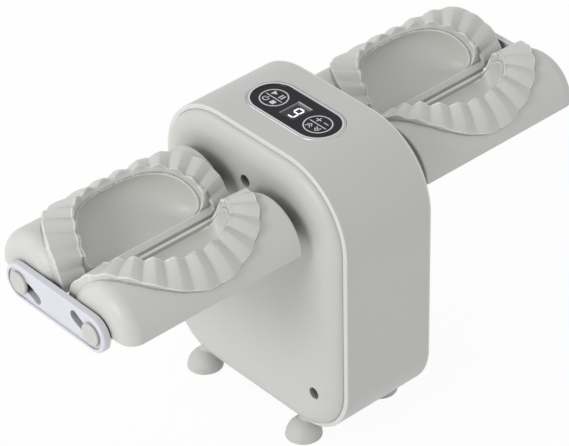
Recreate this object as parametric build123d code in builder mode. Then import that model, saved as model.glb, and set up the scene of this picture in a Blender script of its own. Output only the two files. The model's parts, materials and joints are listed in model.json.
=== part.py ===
from build123d import *

import os
from math import cos, degrees, pi, radians, sin, sqrt, tan

# Electric dumpling machine: a battery-driven body that turns two pairs of half-round moulds.
# All lengths are millimetres. X runs along the mould shafts, Y from front to back, Z up.
# The origin is on the worktop, under the middle of the body.

# Body shell
BODY_DEPTH = 125.0
BODY_HEIGHT = 150.5
BODY_WIDTH = 53.6
TOP_CORNER_R = 38.8
BOTTOM_CORNER_R = 31.0
BAND_WALL = 2.3
RIM_ROUND = 0.8
COVER_BULGE = 5.2
COVER_SOFT_EDGE = 11.0
COVER_WALL = 2.2
COVER_GAP = 0.15
COVER_SKIRT = 1.5

# Feet
FOOT_HEIGHT = 11.0
FOOT_RIM_R = 9.0
FOOT_SPREAD_X = 24.8
FOOT_NECK_X = 21.3
FOOT_FRONT_Y = -29.5
FOOT_BACK_INSET = 19.5
FOOT_NECK_R = 2.3
FOOT_SHOULDER_R = 4.4
FOOT_SHOULDER_H = 8.2
FOOT_SWELL_R = 7.7
FOOT_SWELL_H = 4.6
FOOT_BUTTON_R = 3.3
FOOT_BUTTON_T = 1.4
FOOT_BOSS_R = 3.9
FOOT_BOSS_RISE = 8.0

# Drive train
GEAR_MODULE = 1.5
GEAR_TEETH = 34
PINION_TEETH = 14
GEAR_WIDTH = 8.0
GEAR_BACKLASH = 0.2
PRESSURE_ANGLE = 20.0
GEAR_HUB_R = 9.0
SHAFT_R = 4.5
HEX_ACROSS = 7.6
HEX_STAND_OFF = 1.0
HEX_END_GAP = 0.8
HUB_END_GAP = 0.1
TOOTH_ADDENDUM = 0.8
TOOTH_DEDENDUM = 1.1
TOOTH_ROOT_LEAN = 0.7
SHAFT_BELOW_BODY_TOP = 37.5
RUN_GAP = 0.06
FIT_GAP = 0.02

# Inner frame
FRAME_GAP_X = 6.5
FRAME_T = 3.0
FRAME_EDGE_GAP = 0.3
NOTCH_MARGIN = 6.0
SPACER_R = 4.0
SPACER_INSET = 14.5
SPACER_SIDE_DROP = 45.0
SPACER_MID_DROP = 30.0
BUSH_WALL = 2.0
BUSH_FLANGE_R = 8.2
BUSH_FLANGE_T = 1.6
COVER_BUSH_LEN = 7.0
SEAL_T = 1.8
SEAL_GAP = 0.05
SEAL_SINK = 0.4

# Screws
SCREW_R = 1.5
SCREW_HEAD_R = 2.8
SCREW_HEAD_T = 2.0
SCREW_POCKET_R = 3.1
SCREW_CROSS = 3.0
SCREW_CROSS_W = 0.8
TOWER_WALL = 1.9
TOWER_FLOOR = 2.4
TOP_SCREW_ABOVE_SHAFT = 13.4
LOW_SCREW_INSET = 17.5
LOW_SCREW_ABOVE_FLOOR = 27.0
FRAME_BOSS_R = 4.2
FRAME_BOSS_LEN = 2.4
BOARD_SCREW_R = 0.9
BOARD_SCREW_HEAD_R = 1.5
BOARD_SCREW_HEAD_T = 1.4
BOARD_SCREW_GRIP = 3.0

# Moulds
MOULD_IN_X = 39.3
MOULD_OUT_X = 140.2
MOULD_R = 21.5
MOULD_WALL = 2.2
MOULD_END_ROUND = 8.0
MOULD_HUB_R = 6.6
MOULD_HUB_LEN = 14.0
MOULD_BOSS_LEN = 10.0
HUB_STAND_OUT = 0.9
BOWL_MID_X = 87.3
BOWL_HALF_LEN = 33.4
BOWL_LIP_DEG = 11.0
BOWL_TOP_DEG = 105.0
BOWL_SIDE = 9.0
BOWL_CORNER_R = 6.5
BOWL_DEPTH = 10.3
BOWL_WALL = 1.8
BOWL_OVER_MOUTH = 12.0
BOWL_STEPS = [(0.0, 1.0), (0.5, 0.92), (0.87, 0.74), (1.0, 0.5)]
BOWL_FLARE = 1.12
LIP_RISE = 3.1
LIP_CREST_DEG = 9.8
LIP_BOWL_R = 22.4
LIP_BOWL_DEG = 15.5
LIP_ROUND = 0.4
PLEATS_EVEN = 5.8
PLEATS_CUBED = 1.5
PLEAT_STEPS = 4
PLEAT_MEAN = 0.62
FRILL_INNER_HALF = 34.6
FRILL_INNER_TOP_DEG = 108.5
FRILL_OUTER_HALF = 47.8
FRILL_OUTER_TOP_DEG = 158.0
FRILL_INNER_POWERS = (2.4, 2.4)
FRILL_OUTER_POWERS = (1.7, 2.3)
FRILL_FOOT_DEG = 7.0
FRILL_RISE = 2.6
FRILL_TOP_RISE = 1.6
FRILL_SWING = 1.9
FRILL_TOP_CALM = 0.3
FRILL_ROOT = 1.1

# Link plates and pins
PLATE_T = 3.8
PLATE_HALF_HEIGHT = 9.4
PLATE_RIM = 2.0
PLATE_RECESS = 0.8
PLATE_GAP = 0.1
PIN_R = 2.7
PIN_HEAD_R = 5.6
PIN_HEAD_T = 1.5
SLOT_MID = (7.2, -0.8)
SLOT_END = (12.0, 3.0)

# Touch panel
PANEL_LENGTH = 52.5
PANEL_WIDTH = 22.4
PANEL_T = 1.6
PANEL_SINK = 0.3
BEZEL_RIM = 1.9
BEZEL_PROUD = 0.15
BEZEL_LEDGE = 1.2
BEZEL_ROUND = 0.5
BEZEL_FLANGE = 1.5
BEZEL_FLANGE_T = 1.4
KEY_SPACING = 30.2

# Electronics
BOARD_T = 1.6
BOARD_LENGTH = 44.0
BOARD_WIDTH = 40.0
BOARD_BELOW_TOP = 8.0
POST_R = 2.2
POST_X = 17.4
POST_Y = 17.0
DISPLAY_LENGTH = 14.0
DISPLAY_WIDTH = 10.0
TOUCH_SPRING_R = 4.0
TOUCH_SPRING_WIRE = 0.8
CELL_R = 9.0
CELL_LENGTH = 50.0
CELL_GAP = 0.3
BATTERY_Y = 3.5
TRAY_WALL = 2.0
TRAY_RISE = 2.0
CELL_CLEAR = 1.5
BOARD_CLEAR = 1.6
BOARD_CORNER_R = 2.0
POWER_BOARD_LENGTH = 52.0
POWER_BOARD_HEIGHT = 38.0
POWER_BOARD_ABOVE_FLOOR = 35.0
POWER_BOARD_WALL_GAP = 1.2
STANDOFF_R = 2.4
STANDOFF_LEN = 6.5
STANDOFF_INSET = 4.0
CHIP_SPREAD = 12.0
CHIP_DROP = 9.0
INDUCTOR_SIDE = 12.0
CAPACITOR_R = 4.0
CHIP_LENGTH = 8.0
CHIP_WIDTH = 5.0
COMPONENT_T = 4.0
SOCKET_WIDTH = 9.0
SOCKET_T = 3.2
SOCKET_DEPTH = 7.4
SOCKET_SINK = 0.8
SOCKET_SHELL = 0.35
SOCKET_CORNER_R = 1.1
SOCKET_BACK_T = 1.0
SOCKET_TONGUE_T = 0.7
SOCKET_TONGUE_WIDTH = 6.5

# Motor
GEARBOX_WIDTH = 34.0
GEARBOX_HEIGHT = 28.0
GEARBOX_T = 16.0
CAN_R = 10.0
CAN_FLAT = 15.0
CAN_LENGTH = 22.0
OUTPUT_R = 3.0
OUTPUT_END_GAP = 0.2
PINION_HUB_R = 5.0
PINION_HUB_LEN = 9.0
GEARBOX_CORNER_R = 3.0
CAN_NOSE_T = 2.0
MOTOR_HOLE_GAP = 2.0

# Worked-out places
FLOOR_Z = FOOT_HEIGHT
TOP_Z = FLOOR_Z + BODY_HEIGHT
HALF_WIDTH = BODY_WIDTH / 2
HALF_DEPTH = BODY_DEPTH / 2
FOOT_BACK_Y = HALF_DEPTH - FOOT_BACK_INSET
LOW_SCREW_Y = HALF_DEPTH - LOW_SCREW_INSET
SHAFT_Y = GEAR_MODULE * GEAR_TEETH / 2
SHAFT_Z = TOP_Z - SHAFT_BELOW_BODY_TOP
COVER_INSET = BAND_WALL + COVER_GAP
COVER_FACE_X = HALF_WIDTH + COVER_BULGE
FRAME_OUT_X = FRAME_GAP_X + FRAME_T
TOWER_END_X = FRAME_OUT_X + FRAME_BOSS_LEN
SCREW_SEAT_X = TOWER_END_X + TOWER_FLOOR
BUSH_R = SHAFT_R + RUN_GAP + BUSH_WALL
SEAL_OUT_X = COVER_FACE_X - SEAL_SINK
BUSH_OUT_X = SEAL_OUT_X - SEAL_T - SEAL_GAP
BUSH_IN_X = BUSH_OUT_X - COVER_BUSH_LEN
HEX_START_X = COVER_FACE_X + HEX_STAND_OFF
HEX_END_X = MOULD_IN_X + MOULD_HUB_LEN - HEX_END_GAP
PLATE_IN_X = MOULD_OUT_X + HUB_STAND_OUT + PLATE_GAP
PLATE_OUT_X = PLATE_IN_X + PLATE_T
PIN_SEAT_X = PLATE_OUT_X - PLATE_RECESS
PINION_DROP = GEAR_MODULE * (GEAR_TEETH + PINION_TEETH) / 2
MOTOR_Z = SHAFT_Z - PINION_DROP
BOARD_TOP_Z = TOP_Z - BOARD_BELOW_TOP
PANEL_TOP_Z = TOP_Z - PANEL_SINK
COVER_SCREWS = [
    (0.0, SHAFT_Z + TOP_SCREW_ABOVE_SHAFT),
    (-LOW_SCREW_Y, FLOOR_Z + LOW_SCREW_ABOVE_FLOOR),
    (LOW_SCREW_Y, FLOOR_Z + LOW_SCREW_ABOVE_FLOOR),
]
SHAFT_POINTS = [(-SHAFT_Y, SHAFT_Z), (SHAFT_Y, SHAFT_Z)]

os.makedirs("parts", exist_ok=True)


def save(builder, name):
    """Label a finished piece and write it as its own file."""
    builder.part.label = name
    export_step(builder.part, f"parts/{name}.step")


def across(x):
    """The plane square to the shafts at x: its own x is Y and its own y is Z."""
    return Plane.YZ.offset(x)


def body_section(x, inset):
    """The body's rounded outline at x, drawn in by inset."""
    half = HALF_DEPTH - inset
    low = FLOOR_Z + inset
    high = TOP_Z - inset
    low_r = BOTTOM_CORNER_R - inset
    top_r = TOP_CORNER_R - inset
    with BuildSketch(across(x)) as section:
        with BuildLine():
            Line((low_r - half, low), (half - low_r, low))
            CenterArc((half - low_r, low + low_r), low_r, -90, 90)
            Line((half, low + low_r), (half, high - top_r))
            CenterArc((half - top_r, high - top_r), top_r, 0, 90)
            Line((half - top_r, high), (top_r - half, high))
            CenterArc((top_r - half, high - top_r), top_r, 90, 90)
            Line((-half, high - top_r), (-half, low + low_r))
            CenterArc((low_r - half, low + low_r), low_r, 180, 90)
        make_face()
    return section.sketch


def mirrored(part):
    """The same piece on the other side of the body's middle plane."""
    with BuildPart() as other:
        mirror(part, about=Plane.YZ)
    return other


def pillow(start_x, inset, bulge, soft_edge):
    """A block that swells out of the body's outline to a flat face with a soft edge."""
    steps = [0, 22, 45, 67, 90]
    with BuildPart() as block:
        loft(
            [
                body_section(
                    start_x + bulge * sin(radians(a)),
                    inset + soft_edge * (1 - cos(radians(a))),
                )
                for a in steps
            ]
        )
    return block.part


def on_drum(x, angle, radius):
    """A point at x and at an angle up from the nip side, that far from the shaft's axis."""
    return Vector(x, radius * cos(radians(angle)), radius * sin(radians(angle)))


def bowl_plane():
    """The plane across the bowl's mouth: its x is X and its y runs from the lip to the top edge."""
    lip = on_drum(0, BOWL_LIP_DEG, MOULD_R)
    top = on_drum(0, BOWL_TOP_DEG, MOULD_R)
    along = (top - lip).normalized()
    return Plane(origin=lip, x_dir=(-1, 0, 0), z_dir=Vector(-1, 0, 0).cross(along))


def bowl_outline(height, scale, grow):
    """The bowl's D shape at a height over its mouth, scaled about its middle and grown."""
    mouth = (on_drum(0, BOWL_TOP_DEG, MOULD_R) - on_drum(0, BOWL_LIP_DEG, MOULD_R)).length
    half = BOWL_HALF_LEN * scale + grow
    low = mouth / 2 * (1 - scale) - grow
    top = mouth / 2 * (1 + scale) + grow
    side = low + (BOWL_SIDE + grow) * scale
    with BuildSketch(bowl_plane().offset(height)) as outline:
        with BuildLine():
            lip_corners = [(-half, side), (-half, low), (half, low), (half, side)]
            FilletPolyline(lip_corners, radius=BOWL_CORNER_R * scale)
            EllipticalCenterArc((0, side), half, top - side, arc_size=180)
        make_face()
    return outline.sketch


def bowl_block(grow):
    """The room of the bowl, or with grow the room of the bowl and its wall."""
    outlines = [bowl_outline(BOWL_OVER_MOUTH, BOWL_FLARE, grow)]
    for share, scale in BOWL_STEPS:
        below = BOWL_DEPTH * share + (grow if share > 0 else 0)
        outlines.append(bowl_outline(-below, scale, grow))
    with BuildPart() as block:
        loft(outlines)
    return block.part


def frill_edge(turn, half, top_deg, power_x, power_angle):
    """Where one edge of the frilled band runs: turn goes from 0 at one foot to 180 at the other."""
    x = half * abs(cos(radians(turn))) ** (2 / power_x) * (1 if turn <= 90 else -1)
    angle = FRILL_FOOT_DEG + (top_deg - FRILL_FOOT_DEG) * sin(radians(turn)) ** (2 / power_angle)
    return x, angle


def pleat_turn(pleat):
    """How far round the band a pleat lies, counted from the middle: they widen towards it."""
    share = pleat / PLEATS_EVEN
    for _ in range(9):
        miss = PLEATS_EVEN * share + PLEATS_CUBED * share**3 - pleat
        share -= miss / (PLEATS_EVEN + 3 * PLEATS_CUBED * share**2)
    return 90 - 90 * share


def frill_section(pleat, crease_at):
    """One flat section across the frilled band, from its inner edge to its outer edge."""
    turn = min(max(pleat_turn(pleat), 0), 180)
    inner_x, inner_angle = frill_edge(turn, FRILL_INNER_HALF, FRILL_INNER_TOP_DEG, *FRILL_INNER_POWERS)
    outer_x, outer_angle = frill_edge(turn, FRILL_OUTER_HALF, FRILL_OUTER_TOP_DEG, *FRILL_OUTER_POWERS)
    wave = FRILL_SWING * (abs(sin(pi * (pleat - crease_at))) - PLEAT_MEAN)
    fade = sin(radians(turn)) ** 4
    inner_rise = FRILL_RISE + wave
    outer_wave = wave * (1 - FRILL_TOP_CALM * fade)
    outer_rise = FRILL_RISE + (FRILL_TOP_RISE - FRILL_RISE) * fade + outer_wave
    start = on_drum(inner_x, inner_angle, MOULD_R + inner_rise)
    end = on_drum(outer_x, outer_angle, MOULD_R + outer_rise)
    mid_angle = radians((inner_angle + outer_angle) / 2)
    outward = Vector(0, cos(mid_angle), sin(mid_angle))

    def at_radius(point, radius):
        """The point of this section, straight over or under point, at that radius."""
        flat = Vector(0, point.Y, point.Z)
        reach = flat.dot(outward)
        return point + outward * (sqrt(radius**2 - flat.length**2 + reach**2) - reach)

    middle = (start + end) * 0.5
    crest = at_radius(middle, MOULD_R + (inner_rise + outer_rise) / 2)
    root_r = MOULD_R - FRILL_ROOT
    roots = [at_radius(point, root_r) for point in (end, middle, start)]
    return Face(Wire.make_polygon([start, crest, end, *roots], close=True))


def frill_band(crease_at):
    """The frilled band that crimps the dough's edge, as a ruled strip of pleats."""
    last = PLEATS_EVEN + PLEATS_CUBED
    inside = int(last) * PLEAT_STEPS
    pleats = [last, *[step / PLEAT_STEPS for step in range(inside, -inside - 1, -1)], -last]
    with BuildPart() as band:
        loft([frill_section(pleat, crease_at) for pleat in pleats], ruled=True)
    return band.part


def half_drum(start_x, end_x, radius, end_round):
    """A half-round bar over the shaft's axis with a rounded outer end."""
    with BuildPart() as drum:
        with BuildSketch(across(start_x)):
            with BuildLine():
                CenterArc((0, 0), radius, 0, 180)
                Line((-radius, 0), (radius, 0))
            make_face()
        extrude(amount=end_x - start_x)
        end_arc = drum.edges().filter_by(GeomType.CIRCLE).sort_by(Axis.X)[-1]
        fillet(end_arc, end_round)
    return drum.part


def lip_bar():
    """The straight raised lip along the low edge of the bowl, beside the nip, with a flat top."""
    lip_r = MOULD_R + LIP_RISE
    root_r = MOULD_R - FRILL_ROOT
    crest = on_drum(0, LIP_CREST_DEG, lip_r)
    bowl_side = on_drum(0, LIP_BOWL_DEG, LIP_BOWL_R)
    root = on_drum(0, LIP_BOWL_DEG, root_r)
    with BuildPart() as bar:
        with BuildSketch(across(BOWL_MID_X - FRILL_INNER_HALF)):
            with BuildLine():
                Line((root_r, 0), (lip_r, 0))
                CenterArc((0, 0), lip_r, 0, LIP_CREST_DEG)
                Line((crest.Y, crest.Z), (bowl_side.Y, bowl_side.Z))
                Line((bowl_side.Y, bowl_side.Z), (root.Y, root.Z))
                Line((root.Y, root.Z), (root_r, 0))
            make_face()
        extrude(amount=2 * FRILL_INNER_HALF)
        outer_edges = bar.edges().filter_by(Axis.X).sort_by(Axis.Y)[-2:]
        fillet(outer_edges, LIP_ROUND)
    return bar.part


def mould(crease_at):
    """One half-round mould on its own axis, with its nip side towards +Y."""
    outer = half_drum(MOULD_IN_X, MOULD_OUT_X, MOULD_R, MOULD_END_ROUND)
    hollow_r = MOULD_R - MOULD_WALL
    hollow_round = MOULD_END_ROUND - MOULD_WALL
    hollow = half_drum(MOULD_IN_X + MOULD_WALL, MOULD_OUT_X - MOULD_WALL, hollow_r, hollow_round)
    bowl_at = Location((BOWL_MID_X, 0, 0))
    with BuildPart() as bowl_wall:
        with BuildSketch(across(MOULD_IN_X)):
            Circle(MOULD_R)
        extrude(amount=MOULD_OUT_X - MOULD_IN_X)
        add(bowl_block(BOWL_WALL).moved(bowl_at), mode=Mode.INTERSECT)
    with BuildPart() as piece:
        add(outer)
        add(hollow, mode=Mode.SUBTRACT)
        add(frill_band(crease_at).moved(bowl_at))
        add(lip_bar())
        add(bowl_wall.part)
        with BuildSketch(across(MOULD_IN_X)):
            Circle(MOULD_HUB_R)
        extrude(amount=MOULD_HUB_LEN)
        with BuildSketch(across(MOULD_OUT_X - MOULD_BOSS_LEN)):
            Circle(MOULD_HUB_R)
        extrude(amount=MOULD_BOSS_LEN + HUB_STAND_OUT)
        add(bowl_block(0).moved(bowl_at), mode=Mode.SUBTRACT)
        with BuildSketch(across(MOULD_IN_X)):
            RegularPolygon(HEX_ACROSS / 2 + RUN_GAP, 6, major_radius=False)
        extrude(amount=MOULD_HUB_LEN, mode=Mode.SUBTRACT)
        with BuildSketch(across(MOULD_OUT_X - MOULD_BOSS_LEN)):
            Circle(PIN_R + FIT_GAP)
        extrude(amount=MOULD_BOSS_LEN + HUB_STAND_OUT, mode=Mode.SUBTRACT)
    return piece.part


def placed_mould(part, side):
    """A mould moved onto its shaft: side is -1 for the front shaft and 1 for the back one."""
    with BuildPart() as placed:
        if side > 0:
            mirror(part, about=Plane.XZ)
        else:
            add(part)
    with BuildPart() as result:
        add(placed.part.moved(Location((0, side * SHAFT_Y, SHAFT_Z))))
    return result


def ring(x, length, outer_r, inner_r, points=SHAFT_POINTS):
    """Plain rings round the shafts, from x outwards."""
    with BuildPart() as rings:
        with BuildSketch(across(x)):
            with Locations(*points):
                Circle(outer_r)
                Circle(inner_r, mode=Mode.SUBTRACT)
        extrude(amount=length)
    return rings.part


# Central band of the body: a rounded tube, with the feet's bosses, the board's posts and openings
FOOT_POINTS = [
    (side * FOOT_NECK_X, y) for y in (FOOT_FRONT_Y, FOOT_BACK_Y) for side in (-1, 1)
]
POST_POINTS = [(x, y) for x in (-POST_X, POST_X) for y in (-POST_Y, POST_Y)]
SOCKET_X = -(FRAME_OUT_X + STANDOFF_LEN + BOARD_T + SOCKET_T / 2)
SOCKET_Z = FLOOR_Z + POWER_BOARD_ABOVE_FLOOR + POWER_BOARD_HEIGHT / 2
BEZEL_LENGTH = PANEL_LENGTH + 2 * BEZEL_RIM
BEZEL_WIDTH = PANEL_WIDTH + 2 * BEZEL_RIM

with BuildPart() as bosses_and_posts:
    with BuildSketch(Plane.XY.offset(FLOOR_Z)):
        with Locations(*FOOT_POINTS):
            Circle(FOOT_BOSS_R)
    extrude(amount=FOOT_BOSS_RISE)
    with BuildSketch(Plane.XY.offset(BOARD_TOP_Z)):
        with Locations(*POST_POINTS):
            Circle(POST_R)
    extrude(amount=TOP_Z - BAND_WALL / 2 - BOARD_TOP_Z)
    # Nothing of them passes the band's outer face at its round corners
    extrude(body_section(-HALF_WIDTH, BAND_WALL / 2), amount=BODY_WIDTH, mode=Mode.INTERSECT)
with BuildPart() as body_band:
    extrude(body_section(-HALF_WIDTH, 0), amount=BODY_WIDTH)
    rim_edges = body_band.edges().group_by(Axis.X)
    fillet(rim_edges[0] + rim_edges[-1], RIM_ROUND)
    extrude(body_section(-HALF_WIDTH, BAND_WALL), amount=BODY_WIDTH, mode=Mode.SUBTRACT)
    add(bosses_and_posts.part)
    with BuildSketch(Plane.XY.offset(FLOOR_Z + FOOT_BOSS_RISE)):
        with Locations(*FOOT_POINTS):
            Circle(FOOT_NECK_R + FIT_GAP)
    extrude(amount=-2 * FOOT_BOSS_RISE, mode=Mode.SUBTRACT)
    with BuildSketch(Plane.XY.offset(BOARD_TOP_Z)):
        with Locations(*POST_POINTS):
            Circle(BOARD_SCREW_R + FIT_GAP)
    extrude(amount=BOARD_SCREW_GRIP + BOARD_T, mode=Mode.SUBTRACT)
    with BuildSketch(Plane.XY.offset(TOP_Z - 2 * BAND_WALL)):
        SlotOverall(BEZEL_LENGTH + 2 * COVER_GAP, BEZEL_WIDTH + 2 * COVER_GAP, rotation=90)
    extrude(amount=3 * BAND_WALL, mode=Mode.SUBTRACT)
    with BuildSketch(Plane.XZ.offset(-HALF_DEPTH)):
        with Locations((SOCKET_X, SOCKET_Z)):
            RectangleRounded(SOCKET_T + 2 * COVER_GAP, SOCKET_WIDTH + 2 * COVER_GAP, SOCKET_CORNER_R)
    extrude(amount=2 * BAND_WALL, mode=Mode.SUBTRACT)
save(body_band, "body_band")

# Side covers: pillow shells that plug into the band, with screw towers and bearing seats
with BuildPart() as right_cover:
    add(pillow(HALF_WIDTH, COVER_INSET, COVER_BULGE, COVER_SOFT_EDGE))
    extrude(body_section(HALF_WIDTH, COVER_INSET), amount=-COVER_SKIRT)
    inner_swell = COVER_BULGE - COVER_WALL
    add(
        pillow(HALF_WIDTH, COVER_INSET + COVER_WALL, inner_swell, COVER_SOFT_EDGE),
        mode=Mode.SUBTRACT,
    )
    extrude(
        body_section(HALF_WIDTH, COVER_INSET + COVER_WALL),
        amount=-COVER_SKIRT,
        mode=Mode.SUBTRACT,
    )
    with BuildSketch(across(TOWER_END_X)):
        with Locations(*COVER_SCREWS):
            Circle(SCREW_POCKET_R + TOWER_WALL)
    extrude(amount=COVER_FACE_X - COVER_WALL / 2 - TOWER_END_X)
    with BuildSketch(across(BUSH_IN_X)):
        with Locations(*SHAFT_POINTS):
            Circle(BUSH_R + TOWER_WALL)
    extrude(amount=COVER_FACE_X - COVER_WALL / 2 - BUSH_IN_X)
    with BuildSketch(across(SCREW_SEAT_X)):
        with Locations(*COVER_SCREWS):
            Circle(SCREW_POCKET_R)
    extrude(amount=COVER_FACE_X, mode=Mode.SUBTRACT)
    with BuildSketch(across(TOWER_END_X)):
        with Locations(*COVER_SCREWS):
            Circle(SCREW_R + COVER_GAP)
    extrude(amount=TOWER_FLOOR, mode=Mode.SUBTRACT)
    with BuildSketch(across(BUSH_IN_X)):
        with Locations(*SHAFT_POINTS):
            Circle(BUSH_R + FIT_GAP)
    extrude(amount=COVER_FACE_X, mode=Mode.SUBTRACT)
save(right_cover, "right_cover")
save(mirrored(right_cover.part), "left_cover")

# Screws that hold the covers to the inner frame
with BuildPart() as right_cover_screws:
    with BuildSketch(across(SCREW_SEAT_X)):
        with Locations(*COVER_SCREWS):
            Circle(SCREW_HEAD_R)
    extrude(amount=SCREW_HEAD_T)
    with BuildSketch(across(FRAME_GAP_X + FIT_GAP)):
        with Locations(*COVER_SCREWS):
            Circle(SCREW_R)
    extrude(amount=SCREW_SEAT_X - FRAME_GAP_X)
    with BuildSketch(across(SCREW_SEAT_X + SCREW_HEAD_T / 2)):
        with Locations(*COVER_SCREWS):
            Rectangle(SCREW_CROSS, SCREW_CROSS_W)
            Rectangle(SCREW_CROSS_W, SCREW_CROSS)
    extrude(amount=SCREW_HEAD_T, mode=Mode.SUBTRACT)
save(right_cover_screws, "right_cover_screws")
save(mirrored(right_cover_screws.part), "left_cover_screws")

# Inner frame plates: bulkheads that fill the band and carry the shafts, motor and boards
TOP_NOTCH_Z = BOARD_TOP_Z - BOARD_T - BOARD_SCREW_HEAD_T - BOARD_CLEAR
CELL_Z = FLOOR_Z + BAND_WALL + TRAY_WALL + CELL_R
CELL_X = CELL_R + CELL_GAP
TRAY_TOP_Z = CELL_Z + TRAY_RISE
TRAY_HALF_X = CELL_X + CELL_R + CELL_GAP + TRAY_WALL
TRAY_HALF_Y = CELL_LENGTH / 2 + CELL_GAP + TRAY_WALL


def frame_plate(motor_hole):
    """One bulkhead on the +X side."""
    with BuildPart() as plate:
        extrude(body_section(FRAME_GAP_X, BAND_WALL + FRAME_EDGE_GAP), amount=FRAME_T)
        with BuildSketch(across(FRAME_OUT_X)):
            with Locations(*COVER_SCREWS):
                Circle(FRAME_BOSS_R)
        extrude(amount=FRAME_BOSS_LEN)
        with BuildSketch(across(FRAME_GAP_X)):
            with Locations((0, TOP_Z)):
                Rectangle(BOARD_LENGTH + 2 * NOTCH_MARGIN, 2 * (TOP_Z - TOP_NOTCH_Z))
            with Locations((BATTERY_Y, FLOOR_Z)):
                Rectangle(2 * (TRAY_HALF_Y + NOTCH_MARGIN), 2 * (CELL_Z + CELL_R + CELL_CLEAR - FLOOR_Z))
            with Locations(*SHAFT_POINTS):
                Circle(BUSH_R + FIT_GAP)
            with Locations(*COVER_SCREWS):
                Circle(SCREW_R + FIT_GAP)
            if motor_hole:
                with Locations((-SHAFT_Y, MOTOR_Z)):
                    Circle(OUTPUT_R + MOTOR_HOLE_GAP)
        extrude(amount=FRAME_T + FRAME_BOSS_LEN, mode=Mode.SUBTRACT)
    return plate


right_frame_plate = frame_plate(True)
save(right_frame_plate, "right_frame_plate")
left_frame_plate = mirrored(frame_plate(False).part)
save(left_frame_plate, "left_frame_plate")

# Spacers between the bulkheads, clear of the gears
SPACER_Y = HALF_DEPTH - SPACER_INSET
SPACER_POINTS = [
    (-SPACER_Y, SHAFT_Z - SPACER_SIDE_DROP),
    (SPACER_Y, SHAFT_Z - SPACER_SIDE_DROP),
    (0.0, SHAFT_Z - SPACER_MID_DROP),
    *COVER_SCREWS[1:],
]
with BuildPart() as frame_spacers:
    with BuildSketch(across(-FRAME_GAP_X)):
        with Locations(*SPACER_POINTS):
            Circle(SPACER_R)
    extrude(amount=2 * FRAME_GAP_X)
save(frame_spacers, "frame_spacers")

# Bushes: flanged ones in the bulkheads, plain ones in the covers
with BuildPart() as frame_bushes:
    add(ring(FRAME_GAP_X, FRAME_T, BUSH_R, SHAFT_R + RUN_GAP))
    add(ring(FRAME_GAP_X - BUSH_FLANGE_T, BUSH_FLANGE_T, BUSH_FLANGE_R, SHAFT_R + RUN_GAP))
    mirror(about=Plane.YZ)
save(frame_bushes, "frame_bushes")
with BuildPart() as cover_bushes:
    add(ring(BUSH_IN_X, COVER_BUSH_LEN, BUSH_R, SHAFT_R + RUN_GAP))
    mirror(about=Plane.YZ)
save(cover_bushes, "cover_bushes")
with BuildPart() as shaft_seals:
    add(ring(BUSH_OUT_X + SEAL_GAP, SEAL_T, BUSH_R, SHAFT_R + RUN_GAP))
    mirror(about=Plane.YZ)
save(shaft_seals, "shaft_seals")


def shaft(y):
    """One drive shaft through the body, with a hexagon for a mould at each end."""
    with BuildPart() as bar:
        with BuildSketch(across(-HEX_END_X)):
            with Locations((y, SHAFT_Z)):
                RegularPolygon(HEX_ACROSS / 2, 6, major_radius=False)
        extrude(amount=2 * HEX_END_X)
        with BuildSketch(across(-HEX_START_X)):
            with Locations((y, SHAFT_Z)):
                Circle(SHAFT_R)
        extrude(amount=2 * HEX_START_X)
    return bar


save(shaft(-SHAFT_Y), "front_shaft")
save(shaft(SHAFT_Y), "back_shaft")


def tooth_points(teeth, phase):
    """Corner points of a spur gear with straight flanks, first tooth at the phase angle."""
    pitch_r = GEAR_MODULE * teeth / 2
    lean = tan(radians(PRESSURE_ANGLE))
    half_pitch_width = (pi * GEAR_MODULE / 2 - GEAR_BACKLASH) / 2
    tip_r = pitch_r + TOOTH_ADDENDUM * GEAR_MODULE
    root_r = pitch_r - TOOTH_DEDENDUM * GEAR_MODULE
    tip_half = degrees((half_pitch_width - (tip_r - pitch_r) * lean) / tip_r)
    root_half = degrees((half_pitch_width + TOOTH_ROOT_LEAN * (pitch_r - root_r) * lean) / root_r)
    points = []
    for tooth in range(teeth):
        middle = phase + 360 * tooth / teeth
        for radius, turn in (
            (root_r, -root_half),
            (tip_r, -tip_half),
            (tip_r, tip_half),
            (root_r, root_half),
        ):
            angle = radians(middle + turn)
            points.append((radius * cos(angle), radius * sin(angle)))
    return points


def mesh_phase(first_teeth, first_phase, second_teeth, direction):
    """The phase that puts a second gear in mesh with a first, lying in that direction."""
    turned = first_teeth / second_teeth * (first_phase - direction)
    return direction + 180 - turned - 180 / second_teeth


def spur_gear(teeth, phase, y, z, bore_r, hub_r, length):
    """A spur gear about a shaft, with a hub on both sides."""
    with BuildPart() as gear:
        with BuildSketch(across(-GEAR_WIDTH / 2)):
            with Locations((y, z)):
                Polygon(*tooth_points(teeth, phase), align=None)
        extrude(amount=GEAR_WIDTH)
        with BuildSketch(across(-length / 2)):
            with Locations((y, z)):
                Circle(hub_r)
        extrude(amount=length)
        with BuildSketch(across(-length / 2)):
            with Locations((y, z)):
                Circle(bore_r)
        extrude(amount=length, mode=Mode.SUBTRACT)
    return gear


GEAR_HUB_LEN = 2 * (FRAME_GAP_X - BUSH_FLANGE_T - HUB_END_GAP)
GEAR_BORE_R = SHAFT_R + FIT_GAP
BACK_PHASE = mesh_phase(GEAR_TEETH, 0, GEAR_TEETH, 0)
PINION_PHASE = mesh_phase(GEAR_TEETH, 0, PINION_TEETH, -90)
front_gear = spur_gear(GEAR_TEETH, 0, -SHAFT_Y, SHAFT_Z, GEAR_BORE_R, GEAR_HUB_R, GEAR_HUB_LEN)
save(front_gear, "front_shaft_gear")
back_gear = spur_gear(GEAR_TEETH, BACK_PHASE, SHAFT_Y, SHAFT_Z, GEAR_BORE_R, GEAR_HUB_R, GEAR_HUB_LEN)
save(back_gear, "back_shaft_gear")
pinion = spur_gear(
    PINION_TEETH, PINION_PHASE, -SHAFT_Y, MOTOR_Z, OUTPUT_R + FIT_GAP, PINION_HUB_R, PINION_HUB_LEN
)
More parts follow.
